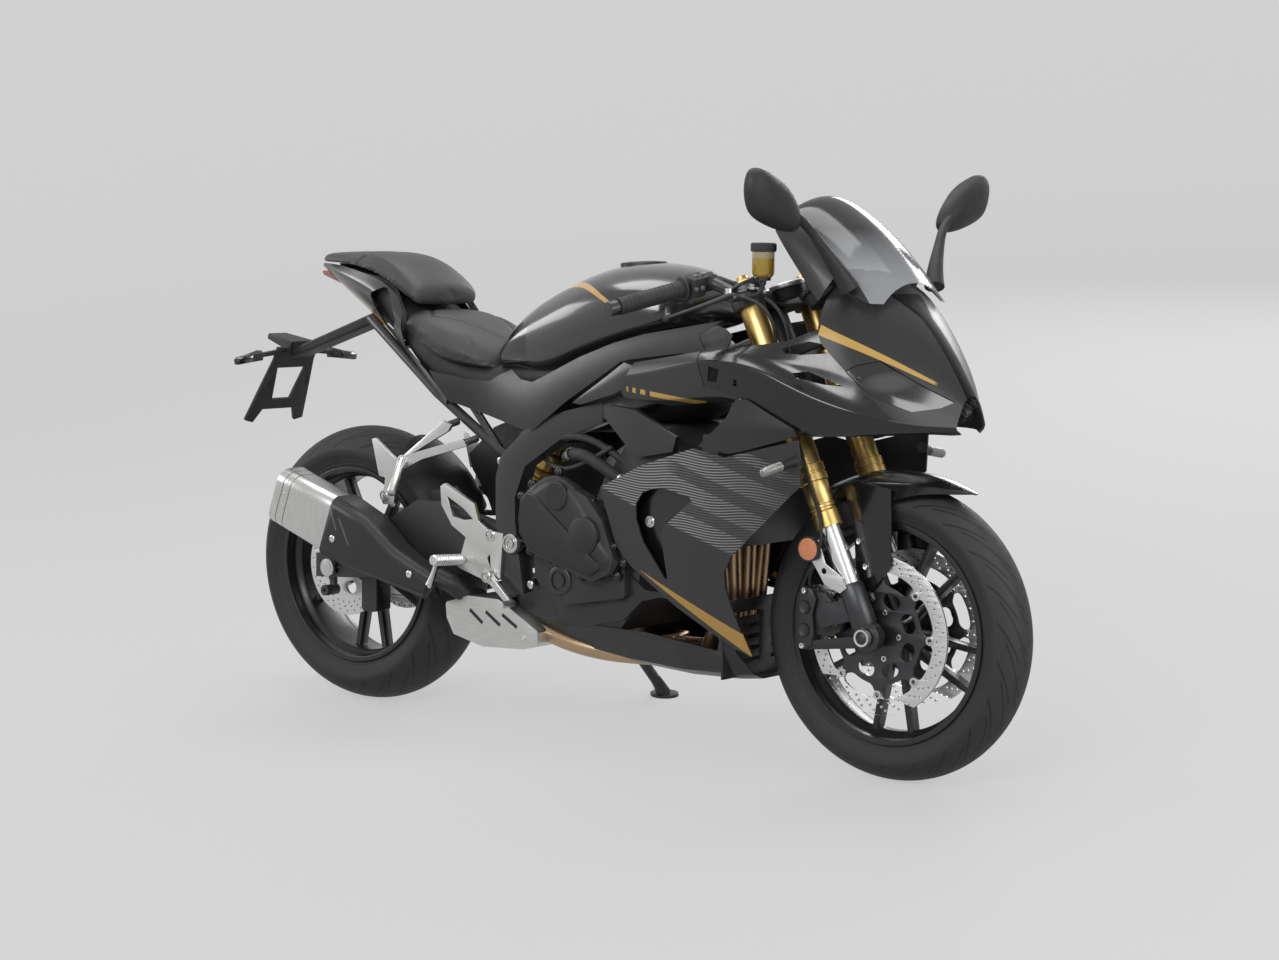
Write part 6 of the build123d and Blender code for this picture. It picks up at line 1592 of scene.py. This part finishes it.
# ---------------------------------------------------------------- footrests, shock and radiator
# Ribbed pegs with feeler pins, ringed bolts in the plates, a yellow coil spring on the damper, and
# a finned radiator core.
pegs = [(0, 9), (0, 12)]
for start in [rib * 6.8 for rib in range(12)]:
    pegs += [(2 + start, 11), (3.2 + start, 12.5), (6 + start, 12.5), (7.2 + start, 11)]
pegs += [(88, 12.5), (91, 10), (91, 0)]
peg_parts, plate_bolts, feelers = [], [], []
for side in (-1, 1):
    peg_parts.append(turned(pegs, (420, side * 172, 371), (0, side, 0.065), 8))
    feelers.append(tapered([(420, side * 256, 368), (417, side * 257, 350), (405, side * 262, 322)],
                           [3, 3, 5]))
    plate_bolts += [ringed(nodes["rider_footrests"], x, z, 13, side) for x, z in ((500, 430), (505, 342))]
    plate_bolts.append(ringed(nodes["passenger_footrests"], 176, 492, 12, side))
settle(joined(peg_parts + feelers), "footrest_pegs", "frame", bright_alloy)
settle(joined(plate_bolts), "footrest_bolts", "frame", steel)
shock_low, shock_high = Vector((452, 0, 440)), Vector((548, 0, 622))
shock_axis = (shock_high - shock_low).normalized()
shock_side = shock_axis.orthogonal().normalized()
shock_other = shock_axis.cross(shock_side)
turns = 6.5
steps_per_turn = 14
coil_foot, coil_length, coil_radius = 34, 118, 35
coil_points = []
for number in range(int(turns * steps_per_turn) + 1):
    angle = math.tau * number / steps_per_turn
    rise = coil_foot + coil_length * number / (turns * steps_per_turn)
    around = shock_side * math.cos(angle) + shock_other * math.sin(angle)
    coil_points.append(shock_low + shock_axis * rise + around * coil_radius)
coil_yellow = worn("coil_yellow", (0.55, 0.36, 0.04), 0.35, 0.0, fine=1500, depth=0.00002, Coat_Weight=0.6)
hose("shock_spring", coil_points, 5.5, "frame", coil_yellow)
fin_pitch = 8.6
fins = []
for row in range(26):
    plate = flat([[(0, 0), (30, 0), (30, 1.0), (0, 1.0)]], -146, 146)
    plate.data.transform(Matrix.Translation(Vector((1072, 0, 455 + row * fin_pitch)) * thousandth))
    fins.append(plate)
tank_outline = [(1068, 448), (1108, 448), (1108, 682), (1068, 682)]
tanks = [flat([tank_outline], side * 158 - 9, side * 158 + 9, 4) for side in (-1, 1)]
settle(joined(fins), "radiator_fins", "frame", dark_alloy)
settle(joined(tanks), "radiator_tanks", "frame", moulded_black)

# ---------------------------------------------------------------- inner cowl, signals and filler cap
# A matt inner cowl closes the gap beside the fork. The front signals have ribbed lenses on short
# stems, and the rear ones smooth smoked lenses.
cowl_outline = [(1040, 836), (1107, 846), (1152, 856), (1146, 884), (1116, 896), (1080, 900), (1020, 884)]
settle(panel(sunk(upper_form, 24), 3, cowl_outline, levels=2), "inner_cowl", "frame", moulded_black)
signal_lens = Finish("signal_lens", (0.22, 0.22, 0.21), 0.25, 0.0, Coat_Weight=0.4)
signal_lens.set(Base_Color=mixed(grain(60).step(0.3, 0.7), (0.16, 0.16, 0.15, 1), (0.26, 0.26, 0.25, 1)))
ribs = [(0, 0), (0, 8), (2, 9.2)]
for rib in range(7):
    ribs += [(4 + rib * 7.5, 9.8), (7 + rib * 7.5, 8.2), (10 + rib * 7.5, 9.6)]
ribs += [(60, 8), (62, 5), (63, 0)]
lenses, stems = [], []
for side in (-1, 1):
    lenses.append(turned(ribs, (1332, side * 262, 640), (0, side, -0.16), 28))
    stems.append(tapered([(1344, side * 222, 650), (1336, side * 246, 645), (1332, side * 264, 640)],
                         [12, 8, 11]))
settle(joined(lenses), "front_signal_lenses", "frame", signal_lens)
settle(joined(stems), "front_signal_stems", "frame", moulded_black, ["front_signals"])
tails = [turned([(0, 0), (0, 8), (3, 10), (44, 9.5), (50, 6), (51, 0)], (-257, side * 146, 779),
                (0, side, -0.12), 24) for side in (-1, 1)]
settle(joined(tails), "rear_signal_lenses", "frame", smoked_lamp)

# Filler cap, set low in the top of the tank: a turned ring round a hinged lid.
place = tank.matrix_world.inverted() @ stance
_, top, _, _ = tank.ray_cast(place @ Vector((0.780, 0, 1.3)), place.to_3x3() @ Vector((0, 0, -1)))
cap_foot = (place.inverted() @ top) / thousandth
cap = turned([(-6, 0), (-6, 50), (2, 50), (4, 47), (4, 40), (2, 38.5), (2.5, 37), (5, 34), (6, 10),
              (6, 0)], cap_foot, (-0.06, 0, 1), 64)
settle(cap, "filler_cap", "frame", dark_alloy, ["fuel_cap"])
